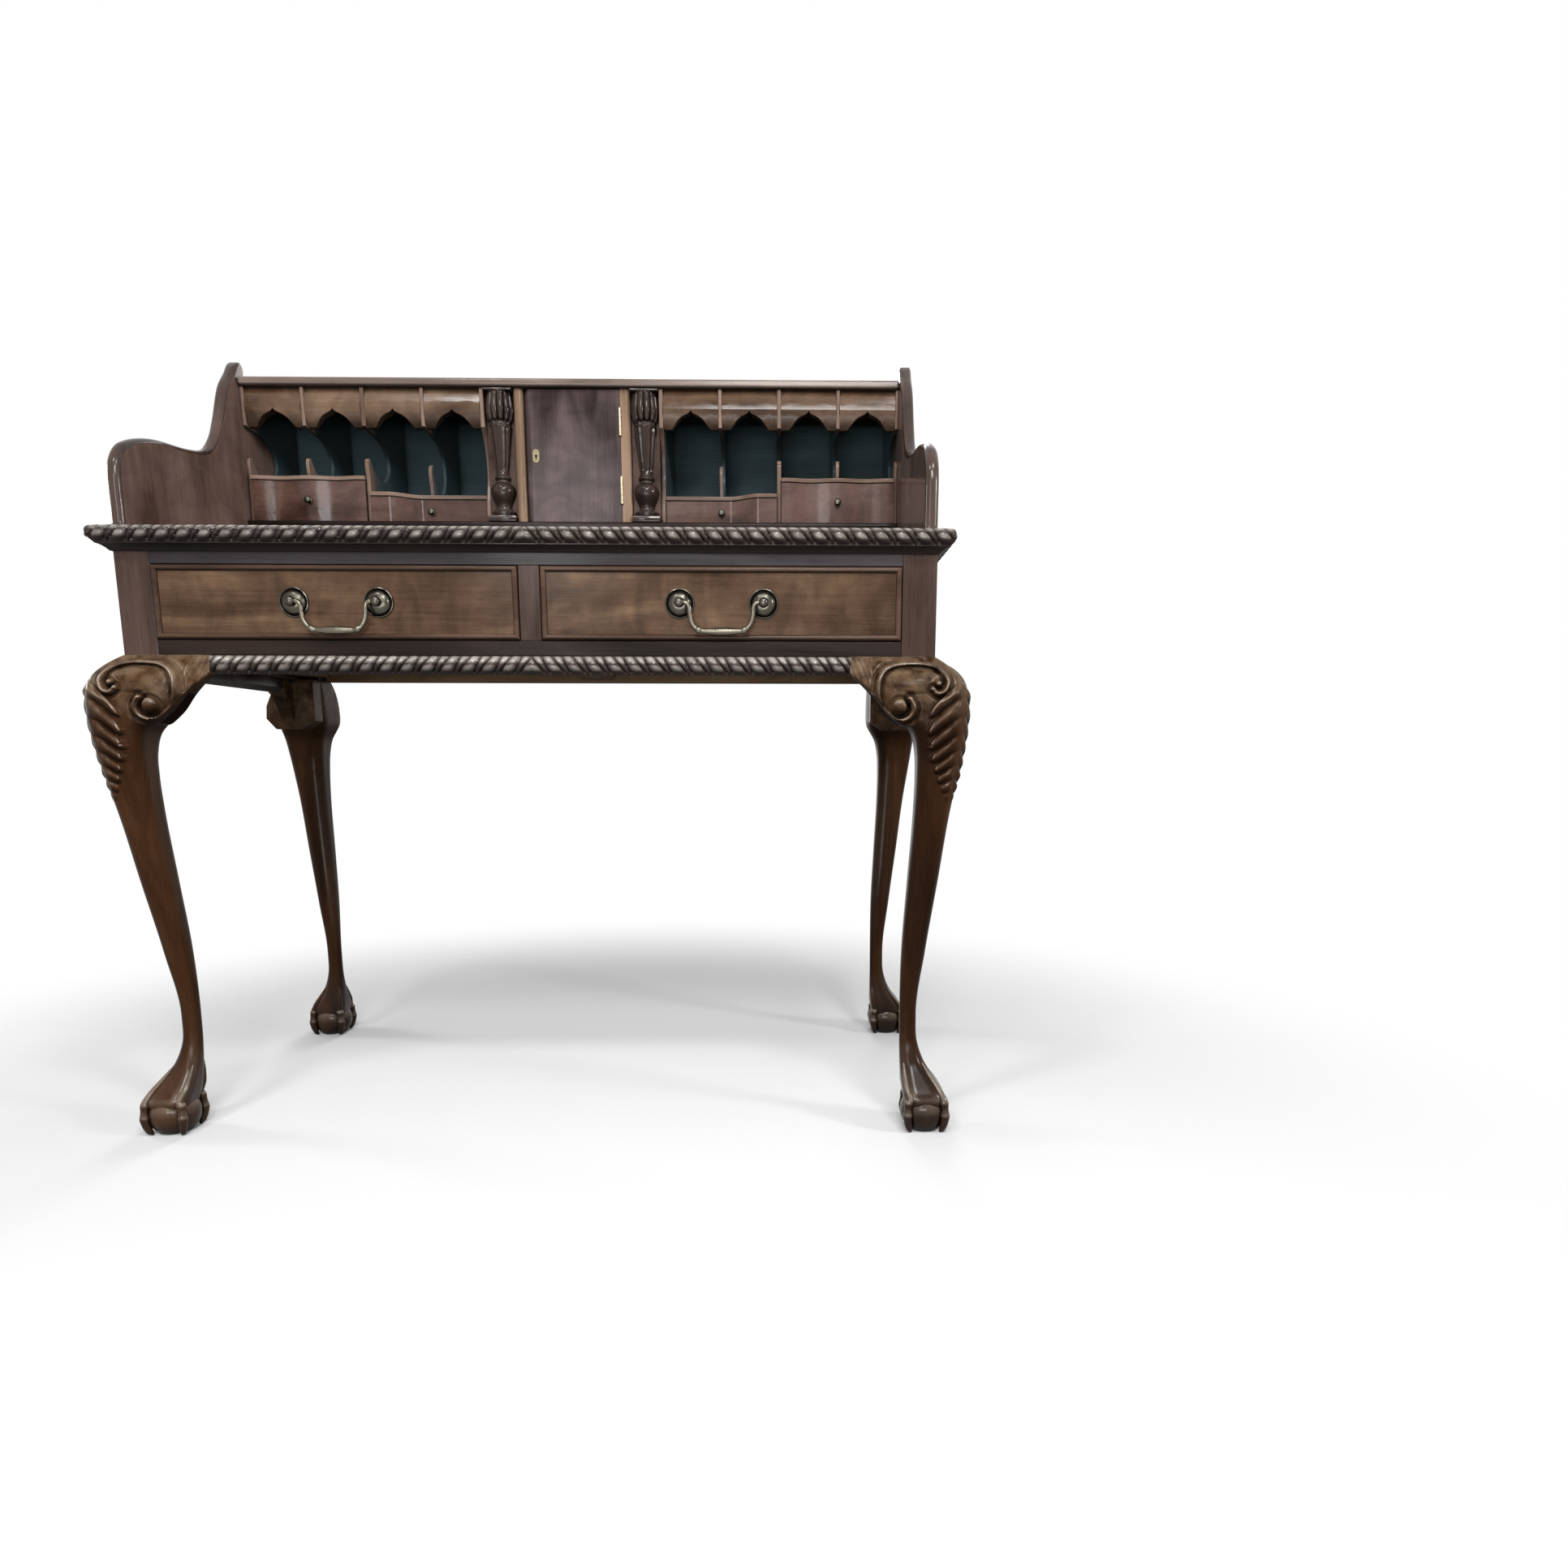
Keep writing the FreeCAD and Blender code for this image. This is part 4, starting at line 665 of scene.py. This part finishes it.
def turn_on_lathe(bm, profile, centre, axis, steps):
    """Spins a profile of radius and distance along the axis, and closes it at its poles."""
    axis = Vector(axis)
    arm = axis.orthogonal().normalized()
    verts = [bm.verts.new(Vector(centre) + arm * radius + axis * along) for radius, along in profile]
    edges = [bm.edges.new(pair) for pair in zip(verts, verts[1:])]
    bmesh.ops.spin(bm, geom=verts + edges, cent=centre, axis=axis, angle=2 * math.pi, steps=steps,
                   use_merge=True)
    bmesh.ops.remove_doubles(bm, verts=bm.verts, dist=1e-6)


brass = aged_brass("aged_brass", (0.008, 0.0074, 0.0062), (0.080, 0.074, 0.060), 0.24)
rubbed_brass = aged_brass("rubbed_brass", (0.030, 0.0270, 0.0215), (0.150, 0.136, 0.104), 0.26)
front_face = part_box("drawer_left_rosettes")[1].y
pivot_inset, rosette_inset = 0.005, 0.015
rosette_profile = (
    (0, 0), (0.0180, 0), (0.0180, 0.0012), (0.0176, 0.0021), (0.0166, 0.0025), (0.0157, 0.0020),
    (0.0152, 0.0014), (0.0146, 0.0024), (0.0134, 0.0044), (0.0116, 0.0061), (0.0094, 0.0073),
    (0.0070, 0.0079), (0.0046, 0.0081), (0, 0.0081),
)
post_profile = (
    (0, -0.0260), (0.0034, -0.0260), (0.0034, 0.0070), (0.0030, 0.0077), (0.0040, 0.0084),
    (0.0056, 0.0098), (0.0062, 0.0115), (0.0058, 0.0138), (0.0045, 0.0157), (0.0024, 0.0168),
    (0, 0.0170),
)
nut_profile = ((0, -0.0260), (0.0050, -0.0260), (0.0050, -0.0200), (0, -0.0200))
bail_half = (
    (0.0000, -0.0340, 0.0045), (0.0040, -0.0340, 0.0045), (0.0110, -0.0340, 0.0041),
    (0.0190, -0.0338, 0.0033), (0.0235, -0.0334, 0.0030), (0.0265, -0.0328, 0.0041),
    (0.0292, -0.0316, 0.0040), (0.0314, -0.0300, 0.0029), (0.0345, -0.0262, 0.0028),
    (0.0372, -0.0205, 0.0027), (0.0384, -0.0140, 0.0027), (0.0388, -0.0070, 0.0027),
    (0.0408, -0.0018, 0.0028), (0.0450, 0.0000, 0.0028), (0.0490, 0.0000, 0.0018),
    (0.0545, 0.0000, 0.0018),
)
for side in ("left", "right"):
    low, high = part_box(f"drawer_{side}_posts")
    pivot = Vector(((low.x + high.x) / 2, low.y + pivot_inset, (low.z + high.z) / 2))
    rosettes, posts, bail = bmesh.new(), bmesh.new(), bmesh.new()
    low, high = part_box(f"drawer_{side}_rosettes")
    for x in (low.x + rosette_inset, high.x - rosette_inset):
        turn_on_lathe(rosettes, rosette_profile, (x, front_face, pivot.z), (0, -1, 0), 56)
        turn_on_lathe(posts, post_profile, (x, front_face, pivot.z), (0, -1, 0), 32)
        turn_on_lathe(posts, nut_profile, (x, front_face, pivot.z), (0, -1, 0), 6)
    half = traced(bail_half, 90)
    path = np.concatenate((half[:0:-1] * (-1, 1, 1), half))
    ways = np.gradient(path[:, :2], axis=0)
    rings = []
    for (x, z, radius), way in zip(path, ways):
        across = Vector((way[1], 0, -way[0])).normalized()
        rings.append(ring(pivot + Vector((x, 0, z)), across, Vector((0, 1, 0)), radius, 18))
    skin(bail, rings)
    for name, bm, metal in (
            (f"drawer_{side}_rosettes", rosettes, brass), (f"drawer_{side}_posts", posts, brass),
            (f"bail_{side}", bail, rubbed_brass)):
        bmesh.ops.recalc_face_normals(bm, faces=bm.faces)
        piece(f"{name}_cast", bm, metal, "brass", name)


# Gallery case: two mahogany side panels sawn to an ogee, with top, back, base and plinth boards housed
# between them. The face of the back board is a nearly black blue-green, which is painted shade with a tint
# of painted blue light.
# Painted shade: the back board's face is a dark blue-green, with a tint of painted blue light.
shaded_back_wood = polished_wood(
    "back_board_painted_shade", (0.036, 0.0580, 0.0650), (0.046, 0.0720, 0.0810), (0.058, 0.091, 0.102), "x",
    roughness=0.5)
panel_wood = polished_wood(
    "panel_mahogany", (0.095, 0.0560, 0.0430), (0.165, 0.1050, 0.0850), (0.240, 0.160, 0.132), "z",
    figure=0.12, streaks=(13, 4))
edge_wood = polished_wood(
    "panel_edge_mahogany", (0.026, 0.0145, 0.0100), (0.056, 0.0330, 0.0250), (0.096, 0.060, 0.047), "z",
    roughness=0.14, gloss=0.30)
top_wood = polished_wood(
    "gallery_top_mahogany", (0.080, 0.0470, 0.0360), (0.140, 0.0890, 0.0720), (0.210, 0.140, 0.115),
    "x", figure=0.10, streaks=(13, 2.6))
# Painted highlight: the front faces of the gallery top's rounded nosing are a paler tone.
nosing_highlight_wood = polished_wood(
    "nosing_mahogany_painted_highlight", (0.110, 0.0760, 0.0610), (0.190, 0.1400, 0.1150), (0.280, 0.215, 0.180), "x",
    roughness=0.15, gloss=0.30)
panel_nose = 0.0075
panel_arris = 0.0008
panel_step = 0.003
nose_margin = 1.2
tip_share, tip_reach = 0.5, (0.008, 0.035)


def sawn_panel(node):
    """A side panel of the CAD outline, its shaped edge rounded over and its other edges just eased."""
    low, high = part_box(node)
    bm = bmesh.new()
    bm.from_mesh(frame["nodes"][node].data)
    bmesh.ops.remove_doubles(bm, verts=bm.verts, dist=1e-6)
    bmesh.ops.dissolve_limit(bm, angle_limit=math.radians(0.4), verts=bm.verts, edges=bm.edges)
    corners = [vert.co for vert in max(bm.faces, key=lambda face: face.calc_area()).verts]
    outline = []
    for start, stop in zip(corners, corners[1:] + corners[:1]):
        steps = math.ceil((stop - start).length / panel_step)
        outline.extend(start.lerp(stop, step / steps).yz for step in range(steps))
    outline = np.array(outline)
    bm.clear()
    before, after = outline - np.roll(outline, 1, axis=0), np.roll(outline, -1, axis=0) - outline
    turned = np.sum(outline[:, 0] * after[:, 1] - outline[:, 1] * after[:, 0])
    inner = []
    for way in (before, after):
        square = np.stack((-way[:, 1], way[:, 0]), axis=1) * np.sign(turned)
        inner.append(square / np.linalg.norm(way, axis=1, keepdims=True))
    inwards = (inner[0] + inner[1]) / (1 + np.sum(inner[0] * inner[1], axis=1, keepdims=True))
    shaped = (outline[:, 1] > low.z + panel_arris) & (outline[:, 0] < high.y - panel_arris)
    from_tip = np.linalg.norm(outline - outline[np.argmax(outline[:, 1])], axis=1)
    slimmed = tip_share + (1 - tip_share) * ramp(from_tip, *tip_reach)
    nose = np.where(shaped, panel_nose * slimmed, panel_arris)
    quarter = [(1 - math.cos(angle), 1 - math.sin(angle)) for angle in np.linspace(0, math.pi / 2, 9)]
    edge = [(0, nose_margin)] + quarter
    rounding = [(low.x, 1, *share) for share in edge] + [(high.x, -1, *share) for share in edge[::-1]]
    rings = []
    for side_x, way, out_share, in_share in rounding:
        flat = outline + inwards * (nose * in_share)[:, None]
        rings.append(np.concatenate(((side_x + way * out_share * nose)[:, None], flat), axis=1))
    skin(bm, rings)
    bmesh.ops.recalc_face_normals(bm, faces=bm.faces)
    made = piece(f"{node}_sawn", bm, panel_wood, "mahogany", node)
    made.data.materials.append(edge_wood)
    for face in made.data.polygons:
        face.material_index = int(abs(face.normal.x) < 0.97)


for side in ("left", "right"):
    sawn_panel(f"gallery_side_{side}")
# The gallery top's front faces take the nosing's painted highlight.
made = eased("gallery_top", top_wood, "mahogany", 0.0050, 5)
made.data.materials.append(nosing_highlight_wood)
for face in made.data.polygons:
    face.material_index = int(face.normal.y < -0.5)
for node in ("gallery_base", "gallery_plinth"):
    eased(node, dark_wood, "mahogany", 0.0012)
made = eased("gallery_back", shaded_back_wood, "stained_back")
made.data.materials.append(hidden_wood["x"])
for face in made.data.polygons:
    face.material_index = int(face.normal.y > 0.5)


# Pigeonholes: thin mahogany partitions and shelves slid into grooves, with an arched valance glued in
# at the head of each hole. Behind their front edges they darken to the blue-green of the back board, as
# painted shade.
bank_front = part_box("tall_partitions")[0].y
inside_tones = ((0.130, 0.080, 0.058), (0.210, 0.140, 0.105), (0.290, 0.205, 0.160))
# Painted shade: the insides darken to a blue-green deeper behind the fronts.
inside_painted_shade = (bank_front + 0.012, bank_front + 0.042, (0.048, 0.073, 0.079))
inside_wood = {way: polished_wood(f"inside_mahogany_along_{way}", *inside_tones, way, painted_depth_shade=inside_painted_shade)
               for way in "xz"}
for node, way in (
        ("tall_partitions", "z"), ("mid_partitions", "z"), ("low_dividers", "z"), ("shelves", "x")):
    eased(node, inside_wood[way], "mahogany", 0.0012)
valance_wood = polished_wood(
    "valance_mahogany", (0.062, 0.033, 0.018), (0.120, 0.070, 0.042), (0.185, 0.115, 0.074), "x",
    roughness=0.15, figure=0.20, streaks=(13, 5), gloss=0.24)
eased("valances", valance_wood, "figured_mahogany", 0.0008)


# Small drawers: shaped fronts of figured mahogany on thin boxes of the lining wood, which slide in
# under the shelves. Each has a turned brass knob whose shank goes through the front.
knob_profile = (
    (0, -0.014), (0.0022, -0.014), (0.0040, 0.0000), (0.0040, 0.0006), (0.0024, 0.0016),
    (0.0021, 0.0030), (0.0030, 0.0042), (0.0046, 0.0054), (0.0050, 0.0066), (0.0044, 0.0080),
    (0.0028, 0.0088), (0, 0.0090),
)
small_wood = polished_wood(
    "small_drawer_mahogany", (0.040, 0.0190, 0.0130), (0.076, 0.0390, 0.0290), (0.125, 0.070, 0.055),
    "x", roughness=0.12, figure=0.20, streaks=(16, 5), gloss=0.30)
for row in ("outer", "inner"):
    for side in ("left", "right"):
        name = f"small_drawer_{row}_{side}"
        eased(f"{name}_front", small_wood, "figured_mahogany", 0.0006)
        eased(f"{name}_box", lining_wood, "drawer_lining", 0.0005)
        low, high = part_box(f"{name}_knob")
        middle = (low + high) / 2
        bm = bmesh.new()
        seat = (middle.x, low.y + knob_profile[-1][1], middle.z)
        turn_on_lathe(bm, knob_profile, seat, (0, -1, 0), 32)
        bmesh.ops.recalc_face_normals(bm, faces=bm.faces)
        piece(f"{name}_turned_knob", bm, brass, "brass", f"{name}_knob")


# Cupboard: a door veneered with a flame of figured mahogany, hung on two brass hinges between mahogany
# walls, with an iron lock and a brass keyhole plate.
iron = aged_brass("dull_iron", (0.02, 0.02, 0.02), (0.09, 0.085, 0.08), 0.5)
# Painted highlight: the walls are a much paler tone, for the light on their rounded fronts.
wall_highlight_wood = polished_wood(
    "wall_mahogany_painted_highlight", (0.190, 0.120, 0.075), (0.310, 0.205, 0.137), (0.410, 0.285, 0.200), "z", painted_hollow_shade=0.2)
# The door's purplish brown is partly painted blue light.
flame_wood = polished_wood(
    "flame_mahogany", (0.032, 0.0190, 0.0190), (0.070, 0.0460, 0.0470), (0.120, 0.084, 0.086), "z",
    roughness=0.16, figure=0.26, streaks=(22, 6))
for node, material, slot, bull in (("cupboard_walls", wall_highlight_wood, "mahogany", 0.0055),
                                   ("door", flame_wood, "figured_mahogany", 0.0090)):
    made = eased(node, material, slot, 0.0006)
    bm = bmesh.new()
    bm.from_mesh(made.data)
    front_of = min(vert.co.y for vert in bm.verts)
    left_of = min(vert.co.x for vert in bm.verts)
    tall = [edge for edge in bm.edges if abs(edge.verts[0].co.z - edge.verts[1].co.z) > 0.15
            and all(abs(vert.co.y - front_of) < 1e-4 for vert in edge.verts)
            and (node == "cupboard_walls" or edge.verts[0].co.x < left_of + 1e-4)]
    bmesh.ops.bevel(bm, geom=tall, offset=bull, segments=6, profile=0.5, affect="EDGES", material=-1)
    bm.to_mesh(made.data)
    bm.free()
    made.data.shade_smooth()
    made.data.set_sharp_from_angle(angle=sharp_turn)
bright_brass = aged_brass("bright_brass", (0.110, 0.0930, 0.0570), (0.420, 0.365, 0.245), 0.30)
dull_brass = aged_brass("dull_brass", (0.045, 0.0370, 0.0210), (0.170, 0.142, 0.085), 0.32)
for node, metal in (("hinge_fixed_leaves", bright_brass), ("hinge_moving_leaves", bright_brass),
                    ("escutcheon", dull_brass)):
    eased(node, metal, "brass", 0.0002)
eased("door_lock", iron, "iron", 0.0006)


# Document slides: narrow mahogany boxes that slide out on either side of the cupboard. Each has a half
# column glued on its front, turned in one piece with reeds at the top and flutes below them.
column_shares = (
    (0.000, 0.95), (0.022, 1.00), (0.045, 0.95), (0.056, 0.70), (0.070, 0.64), (0.090, 0.64),
    (0.110, 0.70), (0.140, 0.84), (0.175, 0.97), (0.210, 1.02), (0.240, 0.97), (0.262, 0.84),
    (0.278, 0.64), (0.290, 0.56), (0.302, 0.58), (0.315, 0.66), (0.330, 0.64), (0.342, 0.56),
    (0.360, 0.53), (0.450, 0.62), (0.550, 0.74), (0.650, 0.86), (0.715, 0.93), (0.735, 0.92),
    (0.748, 0.84), (0.762, 0.84), (0.774, 1.02), (0.790, 1.08), (0.980, 1.08), (0.992, 1.06),
    (1.000, 1.00),
)
column_reeds = 12
column_radius = 0.01805
reed_depth, flute_depth, scallop_drop = 0.17, 0.08, 0.024
slab, abacus = 0.008, 0.003
# The column's raised crowns carry a painted highlight.
column_wood = polished_wood(
    "column_mahogany", (0.020, 0.0105, 0.0075), (0.040, 0.0225, 0.0170), (0.075, 0.046, 0.036), "z",
    roughness=0.13, painted_hollow_shade=0.92, crown_highlight=((0.170, 0.140, 0.120), 0.510, 0.550), gloss=0.24)
for side in ("left", "right"):
    node = f"document_{side}_column"
    low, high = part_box(node)
    middle = Vector(((low.x + high.x) / 2, high.y, 0))
    angles = np.linspace(0, 2 * math.pi, column_reeds * 12, endpoint=False)
    crest = np.abs(np.sin(angles * column_reeds / 2))
    bm = bmesh.new()
    rings = []
    for share in np.linspace(0, 1, 190):
        reeded = float(ramp(share, 0.760, 0.785) * ramp(share, 1.0, 0.985))
        fluted = float(ramp(share, 0.360, 0.385) * ramp(share, 0.735, 0.715))
        scalloped = scallop_drop * (1 - crest) * float(ramp(share, 0.74, 0.76))
        widths = through(column_shares, np.clip(share - scalloped, 0, 1))[:, 1]
        carved = reed_depth * reeded * (1 - crest ** 0.6) + flute_depth * fluted * crest
        sizes = column_radius * widths * (1 - carved)
        level = low.z + slab + share * (high.z - low.z - slab - abacus)
        rings.append([middle + Vector((math.cos(angle) * size, math.sin(angle) * size, level))
                      for angle, size in zip(angles, sizes)])
    skin(bm, rings)
    whole = bm.verts[:] + bm.edges[:] + bm.faces[:]
    bmesh.ops.bisect_plane(bm, geom=whole, plane_co=middle, plane_no=(0, 1, 0), clear_outer=True)
    bmesh.ops.holes_fill(bm, edges=[edge for edge in bm.edges if edge.is_boundary], sides=0)
    for bottom, top in ((low.z, low.z + slab), (high.z - abacus, high.z)):
        block = bmesh.ops.create_cube(bm, size=1)["verts"]
        bmesh.ops.scale(bm, vec=(high.x - low.x, high.y - low.y, top - bottom), verts=block)
        centre = ((low.x + high.x) / 2, (low.y + high.y) / 2, (bottom + top) / 2)
        bmesh.ops.translate(bm, vec=centre, verts=block)
        edges = list({edge for vert in block for edge in vert.link_edges})
        bmesh.ops.bevel(bm, geom=edges, offset=0.0008, segments=2, profile=0.5, affect="EDGES", material=-1)
    bmesh.ops.recalc_face_normals(bm, faces=bm.faces)
    piece(f"document_{side}_turned_column", bm, column_wood, "mahogany", node)
    eased(f"document_{side}_box", rail_wood["y"], "mahogany", 0.0005)


# Studio: a plain pale floor that fades to white away from the desk, and a white surround. The soft key
# light is in front and above, with smaller ones above, low in front, at both sides and behind.
bm = bmesh.new()
bmesh.ops.create_grid(bm, x_segments=1, y_segments=1, size=30)
mesh = bpy.data.meshes.new("floor")
bm.to_mesh(mesh)
bm.free()
floor = bpy.data.objects.new("floor", mesh)
bpy.context.scene.collection.objects.link(floor)


def seen_directly(tree):
    """1 for what is seen straight on, in a reflection or through glass, and 0 for other light."""
    path = shader_node(tree, "LightPath", {}).outputs
    either = reckoned(tree, "MAXIMUM", path["Is Camera Ray"], path["Is Transmission Ray"])
    return reckoned(tree, "MAXIMUM", either, path["Is Glossy Ray"])


floor_bounce, floor_seen = 0.16, 0.90
white_from, white_to = 0.60, 1.5
floor_paint = bpy.data.materials.new("floor_paint")
floor_paint.use_nodes = True
tree = floor_paint.node_tree
paint = tree.nodes["Principled BSDF"]
grey = ranged(tree, seen_directly(tree), start=floor_bounce, stop=floor_seen)
tree.links.new(grey, paint.inputs["Base Color"])
paint.inputs["Roughness"].default_value = 0.9
paint.inputs["Specular IOR Level"].default_value = 0.1
white = shader_node(tree, "Emission", {"Color": (1, 1, 1, 1), "Strength": 1.0}).outputs[0]
place = shader_node(tree, "TexCoord", {}).outputs["Object"]
away = shader_node(tree, "VectorMath", {0: place}, operation="LENGTH").outputs["Value"]
faded = shader_node(tree, "MapRange", {0: away, 1: white_from, 2: white_to},
                    interpolation_type="SMOOTHSTEP").outputs[0]
share = reckoned(tree, "MULTIPLY", faded, seen_directly(tree))
mixed = shader_node(tree, "MixShader", {0: share, 1: paint.outputs[0], 2: white}).outputs[0]
tree.links.new(mixed, tree.nodes["Material Output"].inputs["Surface"])
mesh.materials.append(floor_paint)

world_bounce = 0.14
world = bpy.data.worlds.new("studio")
bpy.context.scene.world = world
world.use_nodes = True
tree = world.node_tree
strength = ranged(tree, seen_directly(tree), start=world_bounce)
tree.links.new(strength, tree.nodes["Background"].inputs["Strength"])
tree.nodes["Background"].inputs["Color"].default_value = (1, 1, 1, 1)

for name, place, aim, size, power in (
        ("key", (0.40, -2.2, 2.05), (0, 0, 0.65), (0.8, 0.6), 32),
        ("above_left", (-0.7, -1.6, 2.6), (0, -0.2, 0.5), (0.30, 0.30), 13),
        ("above_right", (0.9, -1.6, 2.6), (0, -0.2, 0.5), (0.30, 0.30), 15),
        ("window", (-0.48, -2.4, 1.35), (0, 0, 0.8), (0.35, 0.60), 6),
        ("front", (0.02, -2.1, 0.49), (0, 0, 0.8), (1.3, 0.3), 15),
        ("right", (2.6, -1.2, 1.5), (0, 0, 0.6), (0.4, 0.4), 20),
        ("left", (-2.6, 0.5, 1.4), (0, 0, 0.6), (0.5, 0.5), 13),
        ("behind", (0.3, 2.7, 2.3), (0, 0, 0.6), (1.2, 1.2), 30)):
    lamp = bpy.data.lights.new(name, "AREA")
    lamp.shape = "RECTANGLE"
    lamp.size, lamp.size_y = size
    lamp.energy = power
    light = bpy.data.objects.new(name, lamp)
    light.location = place
    light.rotation_euler = (Vector(aim) - Vector(place)).to_track_quat("-Z", "Y").to_euler()
    bpy.context.scene.collection.objects.link(light)

image_side, focal_length = 1932, 1206.2
image_middle = (975.5, 1141.7)
camera_pitch, camera_yaw, camera_roll = 0.1727, 0.0143, 0.0014
lens = bpy.data.cameras.new("camera")
lens.sensor_width = 36
lens.lens = lens.sensor_width * focal_length / image_side
lens.shift_x = (image_side / 2 - image_middle[0]) / image_side
lens.shift_y = (image_middle[1] - image_side / 2) / image_side
camera = bpy.data.objects.new("camera", lens)
camera.location = (0.3023, -1.4837, 0.4911)
level = math.cos(camera_pitch)
ahead = Vector((math.sin(camera_yaw) * level, math.cos(camera_yaw) * level, -math.sin(camera_pitch)))
rolled = ahead.to_track_quat("-Z", "Y").to_matrix() @ Matrix.Rotation(camera_roll, 3, "Z")
camera.rotation_euler = rolled.to_euler()
bpy.context.scene.collection.objects.link(camera)
bpy.context.scene.camera = camera
bpy.context.scene.view_settings.view_transform = "Standard"
